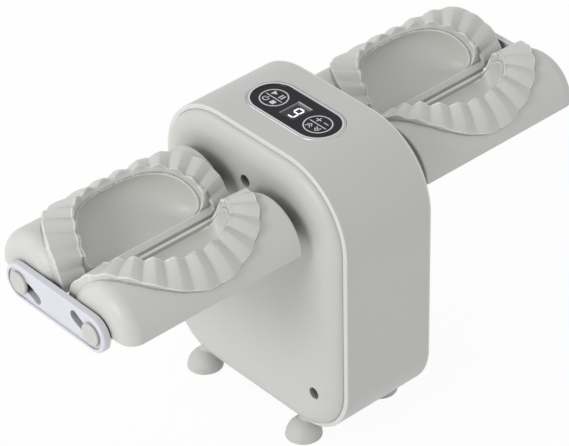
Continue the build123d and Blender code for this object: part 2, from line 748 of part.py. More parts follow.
save(pinion, "motor_pinion")

# Worm gear motor on the right bulkhead, its output shaft and its can
with BuildPart() as gear_motor_box:
    with BuildSketch(across(FRAME_OUT_X)):
        with Locations((-SHAFT_Y, MOTOR_Z)):
            RectangleRounded(GEARBOX_WIDTH, GEARBOX_HEIGHT, GEARBOX_CORNER_R)
    extrude(amount=GEARBOX_T)
    with BuildSketch(across(FRAME_OUT_X)):
        with Locations((-SHAFT_Y, MOTOR_Z)):
            Circle(OUTPUT_R + RUN_GAP)
    extrude(amount=GEARBOX_T / 2, mode=Mode.SUBTRACT)
save(gear_motor_box, "gear_motor_box")
CAN_X = FRAME_OUT_X + GEARBOX_T / 2
CAN_START_Y = GEARBOX_WIDTH / 2 - SHAFT_Y
with BuildPart() as motor_can:
    with BuildSketch(Plane.XZ.offset(-CAN_START_Y - CAN_LENGTH)):
        with Locations((CAN_X, MOTOR_Z)):
            Circle(CAN_R)
            Rectangle(CAN_FLAT, 2 * CAN_R, mode=Mode.INTERSECT)
    extrude(amount=CAN_LENGTH)
    with BuildSketch(Plane.XZ.offset(-CAN_START_Y - CAN_LENGTH - CAN_NOSE_T)):
        with Locations((CAN_X, MOTOR_Z)):
            Circle(OUTPUT_R)
    extrude(amount=CAN_NOSE_T)
save(motor_can, "motor_can")
with BuildPart() as motor_output_shaft:
    with BuildSketch(across(-PINION_HUB_LEN / 2)):
        with Locations((-SHAFT_Y, MOTOR_Z)):
            Circle(OUTPUT_R)
    extrude(amount=PINION_HUB_LEN / 2 + FRAME_OUT_X + GEARBOX_T / 2 - OUTPUT_END_GAP)
save(motor_output_shaft, "motor_output_shaft")

# Touch panel, its bezel, and the control board under it
with BuildPart() as panel_bezel:
    with BuildSketch(Plane.XY.offset(TOP_Z - 2 * BAND_WALL)):
        SlotOverall(BEZEL_LENGTH, BEZEL_WIDTH, rotation=90)
    extrude(amount=2 * BAND_WALL + BEZEL_PROUD)
    fillet(panel_bezel.edges().group_by(Axis.Z)[-1], BEZEL_ROUND)
    with BuildSketch(Plane.XY.offset(PANEL_TOP_Z - PANEL_T)):
        SlotOverall(PANEL_LENGTH, PANEL_WIDTH, rotation=90)
    extrude(amount=2 * PANEL_T, mode=Mode.SUBTRACT)
    with BuildSketch(Plane.XY.offset(TOP_Z - 3 * BAND_WALL)):
        SlotOverall(PANEL_LENGTH - 2 * BEZEL_LEDGE, PANEL_WIDTH - 2 * BEZEL_LEDGE, rotation=90)
    extrude(amount=4 * BAND_WALL, mode=Mode.SUBTRACT)
    with BuildSketch(Plane.XY.offset(TOP_Z - BAND_WALL - BEZEL_FLANGE_T)):
        Rectangle(BEZEL_WIDTH + 2 * BEZEL_FLANGE, BODY_DEPTH - 2 * TOP_CORNER_R)
        SlotOverall(BEZEL_LENGTH, BEZEL_WIDTH, rotation=90, mode=Mode.SUBTRACT)
    extrude(amount=BEZEL_FLANGE_T)
save(panel_bezel, "panel_bezel")
with BuildPart() as touch_panel:
    with BuildSketch(Plane.XY.offset(PANEL_TOP_Z - PANEL_T)):
        SlotOverall(PANEL_LENGTH - 2 * FIT_GAP, PANEL_WIDTH - 2 * FIT_GAP, rotation=90)
    extrude(amount=PANEL_T)
save(touch_panel, "touch_panel")
PANEL_BACK_Z = PANEL_TOP_Z - PANEL_T
with BuildPart() as control_board:
    with BuildSketch(Plane.XY.offset(BOARD_TOP_Z - BOARD_T)):
        RectangleRounded(BOARD_WIDTH, BOARD_LENGTH, BOARD_CORNER_R)
        with Locations(*POST_POINTS):
            Circle(BOARD_SCREW_R + COVER_GAP, mode=Mode.SUBTRACT)
    extrude(amount=BOARD_T)
save(control_board, "control_board")
with BuildPart() as control_board_screws:
    with BuildSketch(Plane.XY.offset(BOARD_TOP_Z - BOARD_T)):
        with Locations(*POST_POINTS):
            Circle(BOARD_SCREW_HEAD_R)
    extrude(amount=-BOARD_SCREW_HEAD_T)
    with BuildSketch(Plane.XY.offset(BOARD_TOP_Z - BOARD_T)):
        with Locations(*POST_POINTS):
            Circle(BOARD_SCREW_R)
    extrude(amount=BOARD_T + BOARD_SCREW_GRIP)
save(control_board_screws, "control_board_screws")
with BuildPart() as digit_display:
    with BuildSketch(Plane.XY.offset(BOARD_TOP_Z)):
        Rectangle(DISPLAY_LENGTH, DISPLAY_WIDTH)
    extrude(amount=PANEL_BACK_Z - BOARD_TOP_Z)
save(digit_display, "digit_display")
with BuildPart() as touch_springs:
    with BuildSketch(Plane.XY.offset(BOARD_TOP_Z)):
        with Locations((0, -KEY_SPACING / 2), (0, KEY_SPACING / 2)):
            Circle(TOUCH_SPRING_R)
            Circle(TOUCH_SPRING_R - TOUCH_SPRING_WIRE, mode=Mode.SUBTRACT)
    extrude(amount=PANEL_BACK_Z - BOARD_TOP_Z)
save(touch_springs, "touch_springs")

# Battery cells in their tray on the body's floor
CELL_POINTS = [(-CELL_X, CELL_Z), (CELL_X, CELL_Z)]
with BuildPart() as battery_tray:
    with BuildSketch(Plane.XY.offset(FLOOR_Z + BAND_WALL)):
        with Locations((0, BATTERY_Y)):
            Rectangle(2 * TRAY_HALF_X, 2 * TRAY_HALF_Y)
    extrude(amount=TRAY_TOP_Z - FLOOR_Z - BAND_WALL)
    with BuildSketch(Plane.XZ.offset(-BATTERY_Y - CELL_LENGTH / 2 - CELL_GAP)):
        with Locations(*CELL_POINTS):
            Circle(CELL_R + FIT_GAP)
        with Locations((0, TRAY_TOP_Z)):
            Rectangle(2 * (TRAY_HALF_X - TRAY_WALL), 2 * TRAY_RISE)
    extrude(amount=CELL_LENGTH + 2 * CELL_GAP, mode=Mode.SUBTRACT)
save(battery_tray, "battery_tray")
with BuildPart() as battery_cells:
    with BuildSketch(Plane.XZ.offset(-BATTERY_Y - CELL_LENGTH / 2)):
        with Locations(*CELL_POINTS):
            Circle(CELL_R)
    extrude(amount=CELL_LENGTH)
save(battery_cells, "battery_cells")

# Power board on standoffs from the left bulkhead, and the charging socket at the back
POWER_BOARD_X = -(FRAME_OUT_X + STANDOFF_LEN)
POWER_BOARD_END_Y = HALF_DEPTH - BAND_WALL - POWER_BOARD_WALL_GAP
POWER_BOARD_MID_Y = POWER_BOARD_END_Y - POWER_BOARD_LENGTH / 2
STANDOFF_REACH_Y = POWER_BOARD_LENGTH / 2 - STANDOFF_INSET
STANDOFF_REACH_Z = POWER_BOARD_HEIGHT / 2 - STANDOFF_INSET
with BuildPart() as board_standoffs:
    with BuildSketch(across(POWER_BOARD_X)):
        with Locations((POWER_BOARD_MID_Y, SOCKET_Z)):
            with GridLocations(2 * STANDOFF_REACH_Y, 2 * STANDOFF_REACH_Z, 2, 2):
                Circle(STANDOFF_R)
    extrude(amount=STANDOFF_LEN)
save(board_standoffs, "board_standoffs")
with BuildPart() as power_board:
    with BuildSketch(across(POWER_BOARD_X)):
        with Locations((POWER_BOARD_MID_Y, SOCKET_Z)):
            Rectangle(POWER_BOARD_LENGTH, POWER_BOARD_HEIGHT)
    extrude(amount=-BOARD_T)
    # An inductor, a capacitor and a small chip
    with BuildSketch(across(POWER_BOARD_X - BOARD_T)):
        with Locations((POWER_BOARD_MID_Y - CHIP_SPREAD, SOCKET_Z + CHIP_DROP)):
            Rectangle(INDUCTOR_SIDE, INDUCTOR_SIDE)
        with Locations((POWER_BOARD_MID_Y - CHIP_SPREAD, SOCKET_Z - CHIP_DROP)):
            Circle(CAPACITOR_R)
        with Locations((POWER_BOARD_MID_Y, SOCKET_Z - CHIP_DROP)):
            Rectangle(CHIP_LENGTH, CHIP_WIDTH)
    extrude(amount=-COMPONENT_T)
save(power_board, "power_board")
SOCKET_MOUTH = Plane.XZ.offset(SOCKET_SINK - HALF_DEPTH)
with BuildPart() as charging_socket:
    with BuildSketch(SOCKET_MOUTH):
        with Locations((SOCKET_X, SOCKET_Z)):
            RectangleRounded(SOCKET_T, SOCKET_WIDTH, SOCKET_CORNER_R)
            RectangleRounded(
                SOCKET_T - 2 * SOCKET_SHELL,
                SOCKET_WIDTH - 2 * SOCKET_SHELL,
                SOCKET_CORNER_R - SOCKET_SHELL,
                mode=Mode.SUBTRACT,
            )
            Rectangle(SOCKET_TONGUE_T, SOCKET_TONGUE_WIDTH)
    extrude(amount=SOCKET_DEPTH - SOCKET_BACK_T)
    with BuildSketch(SOCKET_MOUTH.offset(SOCKET_DEPTH - SOCKET_BACK_T)):
        with Locations((SOCKET_X, SOCKET_Z)):
            RectangleRounded(SOCKET_T, SOCKET_WIDTH, SOCKET_CORNER_R)
    extrude(amount=SOCKET_BACK_T)
save(charging_socket, "charging_socket")

# Suction feet: leaning domes, cut flat where they stand, buttoned through the band's bosses
def foot(side, y):
    """One suction foot, leaning out from its neck to its rim."""
    lean = Vector(side * (FOOT_NECK_X - FOOT_SPREAD_X), 0, FOOT_HEIGHT).normalized()
    along_y = Vector(0, 1, 0)
    rim_middle = (side * FOOT_SPREAD_X, y, 0)
    section = Plane(origin=rim_middle, x_dir=along_y, z_dir=along_y.cross(lean))
    below = -FOOT_RIM_R / 2
    above = FOOT_HEIGHT + FOOT_SHOULDER_R
    with BuildPart() as piece:
        with BuildSketch(section):
            with BuildLine():
                Polyline((FOOT_RIM_R, 0), (FOOT_RIM_R, below), (0, below), (0, above))
                Polyline((0, above), (FOOT_SHOULDER_R, above), (FOOT_SHOULDER_R, FOOT_SHOULDER_H))
                ThreePointArc(
                    (FOOT_SHOULDER_R, FOOT_SHOULDER_H),
                    (FOOT_SWELL_R, FOOT_SWELL_H),
                    (FOOT_RIM_R, 0),
                )
            make_face()
        revolve(axis=Axis(rim_middle, lean))
        split(bisect_by=Plane.XY, keep=Keep.TOP)
        split(bisect_by=Plane.XY.offset(FOOT_HEIGHT), keep=Keep.BOTTOM)
        with BuildSketch(Plane.XY.offset(FOOT_HEIGHT)):
            with Locations((side * FOOT_NECK_X, y)):
                Circle(FOOT_NECK_R)
        extrude(amount=FOOT_BOSS_RISE)
        with BuildSketch(Plane.XY.offset(FOOT_HEIGHT + FOOT_BOSS_RISE)):
            with Locations((side * FOOT_NECK_X, y)):
                Circle(FOOT_BUTTON_R)
        extrude(amount=FOOT_BUTTON_T)
    return piece


save(foot(-1, FOOT_FRONT_Y), "left_front_foot")
save(foot(1, FOOT_FRONT_Y), "right_front_foot")
save(foot(-1, FOOT_BACK_Y), "left_back_foot")
save(foot(1, FOOT_BACK_Y), "right_back_foot")

# Moulds: the front and back ones have opposite pleats, so they mesh as they roll
front_mould = placed_mould(mould(0), -1)
back_mould = placed_mould(mould(0.5), 1)
save(front_mould, "right_front_mould")
save(back_mould, "right_back_mould")
save(mirrored(front_mould.part), "left_front_mould")
save(mirrored(back_mould.part), "left_back_mould")


def link_pin(y):
    """The headed pin that holds a mould's outer end in the link plate."""
    with BuildPart() as pin:
        with BuildSketch(across(MOULD_OUT_X - MOULD_BOSS_LEN)):
            with Locations((y, SHAFT_Z)):
                Circle(PIN_R)
        extrude(amount=PIN_SEAT_X + PLATE_GAP / 2 - MOULD_OUT_X + MOULD_BOSS_LEN)
        with BuildSketch(across(PIN_SEAT_X + PLATE_GAP / 2)):
            with Locations((y, SHAFT_Z)):
                Circle(PIN_HEAD_R)
        extrude(amount=PIN_HEAD_T)
        fillet(pin.edges().group_by(Axis.X)[-1], PIN_HEAD_T / 3)
    return pin


save(link_pin(-SHAFT_Y), "right_front_pin")
save(link_pin(SHAFT_Y), "right_back_pin")
save(mirrored(link_pin(-SHAFT_Y).part), "left_front_pin")
save(mirrored(link_pin(SHAFT_Y).part), "left_back_pin")

# Link plates: flat bars with a raised rim and a curved slot beside each pin
SLOT_PATHS = [
    ThreePointArc(
        (side * SHAFT_Y, SHAFT_Z),
        (side * (SHAFT_Y - SLOT_MID[0]), SHAFT_Z + side * SLOT_MID[1]),
        (side * (SHAFT_Y - SLOT_END[0]), SHAFT_Z - side * SLOT_END[1]),
    )
    for side in (-1, 1)
]
with BuildPart() as right_link_plate:
    with BuildSketch(across(PLATE_IN_X)):
        with Locations((0, SHAFT_Z)):
            SlotCenterToCenter(2 * SHAFT_Y, 2 * PLATE_HALF_HEIGHT)
    extrude(amount=PLATE_T)
    fillet(right_link_plate.edges().group_by(Axis.X)[-1], PLATE_RIM / 2)
    with BuildSketch(across(PIN_SEAT_X)):
        with Locations((0, SHAFT_Z)):
            SlotCenterToCenter(2 * SHAFT_Y, 2 * (PLATE_HALF_HEIGHT - PLATE_RIM))
    extrude(amount=PLATE_T, mode=Mode.SUBTRACT)
    with BuildSketch(across(PLATE_IN_X)):
        for slot_path in SLOT_PATHS:
            SlotArc(slot_path, 2 * (PIN_R + RUN_GAP))
    extrude(amount=PLATE_T, mode=Mode.SUBTRACT)
save(right_link_plate, "right_link_plate")
save(mirrored(right_link_plate.part), "left_link_plate")
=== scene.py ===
"""Looks of the electric dumpling machine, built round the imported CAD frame.

Blender's lengths are metres. Named sizes are millimetres unless their heading says otherwise.
"""

import json
import math

import bpy
import numpy as np
from mathutils import Matrix, Vector
from mathutils.geometry import tessellate_polygon


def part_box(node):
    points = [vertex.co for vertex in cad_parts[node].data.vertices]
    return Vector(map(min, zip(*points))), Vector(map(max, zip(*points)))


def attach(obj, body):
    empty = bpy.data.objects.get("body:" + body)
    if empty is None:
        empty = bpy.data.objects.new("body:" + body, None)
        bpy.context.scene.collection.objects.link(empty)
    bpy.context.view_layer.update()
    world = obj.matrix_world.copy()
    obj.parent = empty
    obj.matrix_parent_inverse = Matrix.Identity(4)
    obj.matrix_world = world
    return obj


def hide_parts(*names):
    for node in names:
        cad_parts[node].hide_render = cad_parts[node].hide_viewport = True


MM = 0.001

# Camera fitted to the photograph: focal length in pixels, sensor in millimetres, angles in degrees
IMAGE_WIDTH = 569
FOCAL_PIXELS = 3000.735
SENSOR_WIDTH = 36.0
CAMERA_AZIMUTH = 41.2416
CAMERA_ELEVATION = 36.4996
CAMERA_ROLL = -1.3037
CAMERA_DISTANCE = 1411.0 * MM
CAMERA_TARGET = Vector((-8.81, -0.37, 101.74)) * MM
CAMERA_CLIP = (0.1, 20)

# World, floor and lamps, in metres and watts
WORLD_STRENGTH = 0.66
FLOOR_SIZE = 6
FLOOR_COLOUR = (0.95, 0.95, 0.95)
FLOOR_WHITE_SHARE = 0.94
LAMP_AIM = (0, 0, 0.1)
KEY_LAMP = dict(place=(-2.1, -0.2, 1.2), size=0.7, watts=18.5)
BACK_LAMP = dict(place=(-1.2, 1.5, 1.2), size=1.0, watts=7)

# Grain and mottle of every finish
BUMP_STRENGTH = 0.25
FINE_DETAIL = 3
MOTTLE_SIZE = 25
MOTTLE_DETAIL = 2

# Painted light and shade: painted highlights on the band's rims, the moulds' edges and the panel window, and
# painted shade in a ring on the bezel, in the moulds' creases and in nooks
KEY_Y = 15.05
# Painted highlight: the band's plastic is paler along its two rims
RIM_HIGHLIGHT = (0.70, 0.70, 0.675)
RIM_HIGHLIGHT_LEFT = (26.1, 26.6)
RIM_HIGHLIGHT_RIGHT = (25.3, 25.8)
# Painted shade: a dark ring on the bezel between its two bright ones
GROOVE_SHADE = (0.27, 0.27, 0.285)
GROOVE_INNER_R = (12.1, 12.3)
GROOVE_OUTER_R = (12.5, 12.7)
# Painted reflection: the panel window is paler towards its +X and +Y edges
WINDOW_REFLECTION = (0.27, 0.27, 0.28)
WINDOW_REFLECTION_X = (3.0, 6.2)
WINDOW_REFLECTION_Y = (3.0, 5.0)
# Painted highlight along the moulds' sharp edges and painted shade down in their creases
EDGE_HIGHLIGHT = (0.74, 0.74, 0.715)
EDGE_BEND = (0.04, 0.16)
CREASE_SHADE = (0.38, 0.38, 0.355)
CREASE_BEND = (0.05, 0.22)
# Painted shade: darker where the ambient occlusion node finds other parts close by, and darkest in narrow gaps
NOOK_SHADE = (0.22, 0.22, 0.20)
NOOK_CLOSED = (0.15, 0.85)
NOOK_DEEP_SHADE = (0.09, 0.09, 0.082)
NOOK_DEEP_SHADE_CLOSED = (0.6, 1.0)
NOOK_SAMPLES = 8
NOOKS = {
    "body_plastic": (28.0, 0.65),
    "mould_plastic": (14.0, 0.25),
    "link_plastic": (16.0, 0.5),
    "pin_plastic": (16.0, 0.5),
}

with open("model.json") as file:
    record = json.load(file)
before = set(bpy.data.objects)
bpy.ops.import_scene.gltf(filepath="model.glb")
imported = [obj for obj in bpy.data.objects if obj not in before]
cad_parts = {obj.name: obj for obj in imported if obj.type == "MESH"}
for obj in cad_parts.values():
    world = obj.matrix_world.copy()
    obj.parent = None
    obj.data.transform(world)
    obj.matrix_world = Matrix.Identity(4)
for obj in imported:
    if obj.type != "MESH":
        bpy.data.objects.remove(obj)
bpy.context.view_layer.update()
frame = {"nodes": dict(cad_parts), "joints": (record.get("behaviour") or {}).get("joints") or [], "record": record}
nodes = frame["nodes"]
slot_of = {part["node"]: part["material_slot"] for part in frame["record"]["subparts"]}
body_of = {
    node: body
    for body, members in frame["record"]["behaviour"]["bodies"].items()
    for node in members
}


def opaque(colour):
    """A colour with full alpha."""
    return tuple(colour) + (1,)


def surface(
    name,
    colour,
    roughness,
    grain=0.6,
    bump=0.02,
    mottle=0.04,
    metallic=0.0,
    spread=0.06,
    gloss=0.5,
    glow=0.0,
):
    """A procedural finish: fine grain in the bump, soft variation in the colour and the roughness."""
    material = bpy.data.materials.new(name)
    material.use_nodes = True
    tree = material.node_tree
    shader = tree.nodes["Principled BSDF"]
    shader.inputs["Metallic"].default_value = metallic
    shader.inputs["Specular IOR Level"].default_value = gloss
    shader.inputs["Emission Color"].default_value = opaque(colour)
    shader.inputs["Emission Strength"].default_value = glow
    place = tree.nodes.new("ShaderNodeTexCoord")
    fine = tree.nodes.new("ShaderNodeTexNoise")
    fine.inputs["Scale"].default_value = 1 / (grain * MM)
    fine.inputs["Detail"].default_value = FINE_DETAIL
    broad = tree.nodes.new("ShaderNodeTexNoise")
    broad.inputs["Scale"].default_value = 1 / (MOTTLE_SIZE * MM)
    broad.inputs["Detail"].default_value = MOTTLE_DETAIL
    for noise in (fine, broad):
        tree.links.new(place.outputs["Object"], noise.inputs["Vector"])
    bumps = tree.nodes.new("ShaderNodeBump")
    bumps.inputs["Strength"].default_value = BUMP_STRENGTH
    bumps.inputs["Distance"].default_value = bump * MM
    tree.links.new(fine.outputs["Fac"], bumps.inputs["Height"])
    tree.links.new(bumps.outputs["Normal"], shader.inputs["Normal"])
    tint = tree.nodes.new("ShaderNodeMix")
    tint.data_type = "RGBA"
    tint.inputs["A"].default_value = opaque(c * (1 - mottle) for c in colour)
    tint.inputs["B"].default_value = opaque(colour)
    tree.links.new(broad.outputs["Fac"], tint.inputs["Factor"])
    tree.links.new(tint.outputs["Result"], shader.inputs["Base Color"])
    rough = tree.nodes.new("ShaderNodeMapRange")
    rough.inputs["To Min"].default_value = max(0.0, roughness - spread)
    rough.inputs["To Max"].default_value = min(1.0, roughness + spread)
    tree.links.new(fine.outputs["Fac"], rough.inputs["Value"])
    tree.links.new(rough.outputs["Result"], shader.inputs["Roughness"])
    return material


FINISHES = {
    "body_plastic": dict(colour=(0.57, 0.57, 0.55), roughness=0.42),
    "mould_plastic": dict(colour=(0.605, 0.605, 0.58), roughness=0.4),
    "link_plastic": dict(colour=(0.66, 0.665, 0.72), roughness=0.4),
    "pin_plastic": dict(colour=(0.56, 0.555, 0.53), roughness=0.42),
    "foot_rubber": dict(colour=(0.55, 0.55, 0.53), roughness=0.5),
    "panel_black": dict(
        colour=(0.014, 0.014, 0.019), roughness=0.12, bump=0.0005, spread=0.02, gloss=0.12
    ),
    "bezel_chrome": dict(colour=(0.62, 0.62, 0.64), roughness=0.3, metallic=1.0, bump=0.002),
    "display": dict(colour=(0.72, 0.75, 0.82), roughness=0.3),
    "dark_screw": dict(colour=(0.05, 0.05, 0.055), roughness=0.4, metallic=0.8),
    "frame_plastic": dict(colour=(0.20, 0.21, 0.23), roughness=0.5),
    "spacer_metal": dict(colour=(0.70, 0.71, 0.73), roughness=0.35, metallic=1.0),
    "bush_bronze": dict(colour=(0.62, 0.45, 0.22), roughness=0.4, metallic=1.0),
    "seal_rubber": dict(colour=(0.03, 0.03, 0.032), roughness=0.6),
    "gearbox_plastic": dict(colour=(0.10, 0.10, 0.11), roughness=0.5),
    "motor_steel": dict(colour=(0.62, 0.63, 0.65), roughness=0.35, metallic=1.0),
    "circuit_board": dict(colour=(0.03, 0.22, 0.10), roughness=0.35),
    "spring_steel": dict(colour=(0.70, 0.68, 0.60), roughness=0.3, metallic=1.0),
    "cell_sleeve": dict(colour=(0.10, 0.28, 0.55), roughness=0.3),
    "socket_steel": dict(colour=(0.66, 0.67, 0.69), roughness=0.3, metallic=1.0),
    "shaft_steel": dict(colour=(0.66, 0.67, 0.69), roughness=0.28, metallic=1.0),
    "gear_plastic": dict(colour=(0.82, 0.80, 0.74), roughness=0.45),
}
finishes = {slot: surface(slot, **look) for slot, look in FINISHES.items()}
key_print = surface("key_print", (0.64, 0.64, 0.66), 0.5, bump=0.0005, mottle=0.01)
window_print = surface("window_print", (0.03, 0.03, 0.033), 0.2, bump=0.0005, gloss=0.2)
lit_segment = surface(
    "lit_segment", (0.95, 0.95, 0.97), 0.5, bump=0.0005, mottle=0.01, glow=0.55
)


def maths(tree, operation, *values):
    """One step of arithmetic; a value is a number or another node's output."""
    step = tree.nodes.new("ShaderNodeMath")
    step.operation = operation
    for spot, value in zip(step.inputs, values):
        if isinstance(value, (int, float)):
            spot.default_value = value
        else:
            tree.links.new(value, spot)
    return step.outputs["Value"]


def object_axes(tree):
    """The object's own x, y and z."""
    place = tree.nodes.new("ShaderNodeTexCoord")
    split = tree.nodes.new("ShaderNodeSeparateXYZ")
    tree.links.new(place.outputs["Object"], split.inputs["Vector"])
    return split.outputs["X"], split.outputs["Y"], split.outputs["Z"]


def ramp(tree, value, span, unit=1.0):
    """0 below the span of values and 1 above it, smooth between them."""
    step = tree.nodes.new("ShaderNodeMapRange")
    step.interpolation_type = "SMOOTHSTEP"
    step.inputs["From Min"].default_value = span[0] * unit
    step.inputs["From Max"].default_value = span[1] * unit
    tree.links.new(value, step.inputs["Value"])
    return step.outputs["Result"]


def recoloured(material, share, colour):
    """Lay another colour over the material's own by a share."""
    tree = material.node_tree
    base = tree.nodes["Principled BSDF"].inputs["Base Color"]
    mix = tree.nodes.new("ShaderNodeMix")
    mix.data_type = "RGBA"
    tree.links.new(share, mix.inputs["Factor"])
    tree.links.new(base.links[0].from_socket, mix.inputs["A"])
    mix.inputs["B"].default_value = opaque(colour)
    tree.links.new(mix.outputs["Result"], base)


def band_finish():
    """The band's plastic, with a painted highlight that makes it paler along its two rims."""
    material = surface("band_plastic", **FINISHES["body_plastic"])
    tree = material.node_tree
    x = object_axes(tree)[0]
    left = ramp(tree, maths(tree, "MULTIPLY", x, -1.0), RIM_HIGHLIGHT_LEFT, MM)
    right = ramp(tree, x, RIM_HIGHLIGHT_RIGHT, MM)
    recoloured(material, maths(tree, "MAXIMUM", left, right), RIM_HIGHLIGHT)
    return material


def bezel_rings(material):
    """Painted shade: a dark line between the bezel's two bright ones, by the distance to the panel's long axis."""
    tree = material.node_tree
    x, y, _ = object_axes(tree)
    past_key = maths(tree, "SUBTRACT", maths(tree, "ABSOLUTE", y), KEY_Y * MM)
    beyond = maths(tree, "MAXIMUM", past_key, 0.0)
    squares = maths(tree, "ADD", maths(tree, "POWER", x, 2.0), maths(tree, "POWER", beyond, 2.0))
    radius = maths(tree, "SQRT", squares)
    inside = ramp(tree, radius, GROOVE_INNER_R, MM)
    outside = ramp(tree, radius, GROOVE_OUTER_R, MM)
    recoloured(material, maths(tree, "SUBTRACT", inside, outside), GROOVE_SHADE)


def painted_edge_highlight_and_crease_shade(material):
    """Painted highlight along sharp edges and painted shade down in the creases, as the moulds' meshes say."""
    tree = material.node_tree
    for name, bend, colour in (
        ("edge", EDGE_BEND, EDGE_HIGHLIGHT),
        ("crease", CREASE_BEND, CREASE_SHADE),
    ):
        share = tree.nodes.new("ShaderNodeAttribute")
        share.attribute_name = name
        recoloured(material, ramp(tree, share.outputs["Fac"], bend), colour)


def painted_nook_shade(material, reach, share):
    """Painted shade: darker where other plastic stands close by, and darkest down in narrow gaps."""
    tree = material.node_tree
    nook = tree.nodes.new("ShaderNodeAmbientOcclusion")
    nook.samples = NOOK_SAMPLES
    nook.inputs["Distance"].default_value = reach * MM
    closed = maths(tree, "SUBTRACT", 1.0, nook.outputs["AO"])
    shaded = maths(tree, "MULTIPLY", ramp(tree, closed, NOOK_CLOSED), share)
    recoloured(material, shaded, NOOK_SHADE)
    recoloured(material, ramp(tree, closed, NOOK_DEEP_SHADE_CLOSED), NOOK_DEEP_SHADE)


def painted_window_reflection(material):
    """Painted reflection: the window is paler towards its +X and +Y edges."""
    tree = material.node_tree
    x, y, _ = object_axes(tree)
    across, along = ramp(tree, x, WINDOW_REFLECTION_X, MM), ramp(tree, y, WINDOW_REFLECTION_Y, MM)
    recoloured(material, maths(tree, "MAXIMUM", across, along), WINDOW_REFLECTION)


# Painted shade in a ring on the bezel
bezel_rings(finishes["bezel_chrome"])
# Painted highlight on the moulds' edges and painted shade in their creases
painted_edge_highlight_and_crease_shade(finishes["mould_plastic"])
# Painted shade in the nooks of the plastic parts
for slot, (reach, share) in NOOKS.items():
    painted_nook_shade(finishes[slot], reach, share)
# Painted reflection in the panel window
painted_window_reflection(window_print)
for name, node in nodes.items():
    node.data.materials.clear()
    node.data.materials.append(finishes[slot_of[name]])
# The band's material carries a painted highlight along its rims
nodes["body_band"].data.materials[0] = band_finish()


# Drum of a mould, in the mould's own frame: x along the shaft, u to the nip, w up
MOULD_IN_X = 39.3
MOULD_OUT_X = 140.2
DRUM_R = 21.5
DRUM_WALL = 2.2
DRUM_END_ROUND = 8.0
DRUM_IN_ROUND = 0.8
DRUM_EDGE_ROUND = 0.6

# Hub with a hexagon, and boss with the pin's bore
HUB_R = 6.6
HUB_LENGTH = 14.0
HUB_FILLET = 0.5
BOSS_LENGTH = 10.0
BOSS_STAND_OUT = 0.9
BOSS_FILLET = 0.3
BAR_EDGE_ROUND = 0.3
HEX_ACROSS = 7.72
PIN_BORE_R = 2.72

# Bowl: a soft basin under a flared opening, with its mouth tilted to the nip
BOWL_MID_X = 87.3
BOWL_OUTLINE = dict(half=33.4, top_deg=107.5)
BOWL_OUTLINE_POWER = 2.3
BOWL_LOW = -15.15
BOWL_CORNER = 6.5
BOWL_FLOOR = 9.5
BOWL_MIN_DEPTH = 2
BOWL_SWEEP = 15.6
BOWL_POWER = 2.3
BOWL_CORNER_POWER = 5.0
BOWL_RIM_R = 21.4
BOWL_WALL = 1.8
BOWL_WALL_INSET = 0.05
BOWL_OPEN_R = 21.0
BOWL_ROUND = 0.45
MOUTH_DEG = 58.0
MOUTH_SAG = 13.82
FLARE = 0.35
FLARE_R = 23.2

# Lip beside the nip and thin wavy rim round the bowl
LIP_HEIGHT = 2.7
LIP_R = 24.75
LIP_ROUND = 0.3
RIM_CLIMB = 1.2
RIM_CORNER = 4.0
RIM_PROUD = 0.3
RIM_WAVE_TURN = 0.45
RIM_WAVE_REACH = 6.0
RIM_WIDTH = 0.85
RIM_FOOT_ROUND = 0.4
RIM_SCALLOP = 0.5
RIM_SCALLOP_RISE = 2
BEAD_WIDTH = 3.0
BEAD_TOP_DEG = 70
BEAD_BLEND = 0.7

# Frilled band: ovals on the drum, with half lengths in millimetres and tops in degrees
FRILL_FOOT_DEG = 7.0
FRILL_INNER = dict(half=35.0, top_deg=112.0, power_x=2.3, power_a=2.3)
FRILL_OUTER = dict(half=48.0, top_deg=158.0, power_x=1.7, power_a=2.3)
FRILL_OUTER_EXTRA = 3.0
FRILL_MIDDLE = dict(half=41.5, top_deg=128.0)
FRILL_MIDDLE_POWER_X = 2.04
FRILL_MIDDLE_POWER_A = 2.34
FRILL_LOBES = (5.8, 1.5)
FRILL_R = 24.2
FRILL_TOP_DROP = 0.9
FRILL_SWING = 2.5
FRILL_FOOT_SWING = 0.45
FRILL_FOOT_TURN = 0.7
FRILL_MEAN = 0.59
FRILL_FOLD = 0.4
FRILL_CALM = 0.45
FRILL_SCALLOP = 0.2
FRILL_EDGE_ROUND = 0.5
FRILL_SIDE_ROUND = 0.4
FRILL_FILLET = 0.3
FRILL_ROOT = 1.1
FRILL_ROOT_FROM = 9
FRILL_ROOT_GROWTH = 0.3
CREASE_SOFT = 0.012

# Grid the moulds' surfaces are taken from, and steps that draw their corners onto the shape
GRID_STEP = 0.55
GRID_IN_MARGIN = 1.4
GRID_OUT_MARGIN = 2.4
GRID_SIDE_MARGIN = 4.6
GRID_LOW = -7.6
DRAW_STEPS = 3
DRAW_REACH = 0.06
DRAW_LIMIT = 0.4
NORMAL_REACH = 0.12
EDGE_REACH = 0.7

# Small values that keep divisions and roots safe
SHARE_GUARD = 1e-6
SLOPE_GUARD = 1e-4
LENGTH_GUARD = 1e-9
OUTER_GUARD = 0.1
ROOT_GUARD = 1
STEEP_GUARD = 0.2


def rounded_cut(a, b, radius):
    """The overlap of two solids given by distances, with its outer edge rounded."""
    p, q = a + radius, b + radius
    return np.hypot(np.maximum(p, 0), np.maximum(q, 0)) + np.minimum(np.maximum(p, q), 0) - radius


def rounded_join(a, b, radius):
    """Two solids joined, with a fillet in the corner between them."""
    return -rounded_cut(-a, -b, radius)


def bar_field(x, across, start, end):
    """A round bar along x between two places, as thick as a hub."""
    ends = np.maximum(start - x, x - end)
    return rounded_cut(across - HUB_R, ends, BAR_EDGE_ROUND)


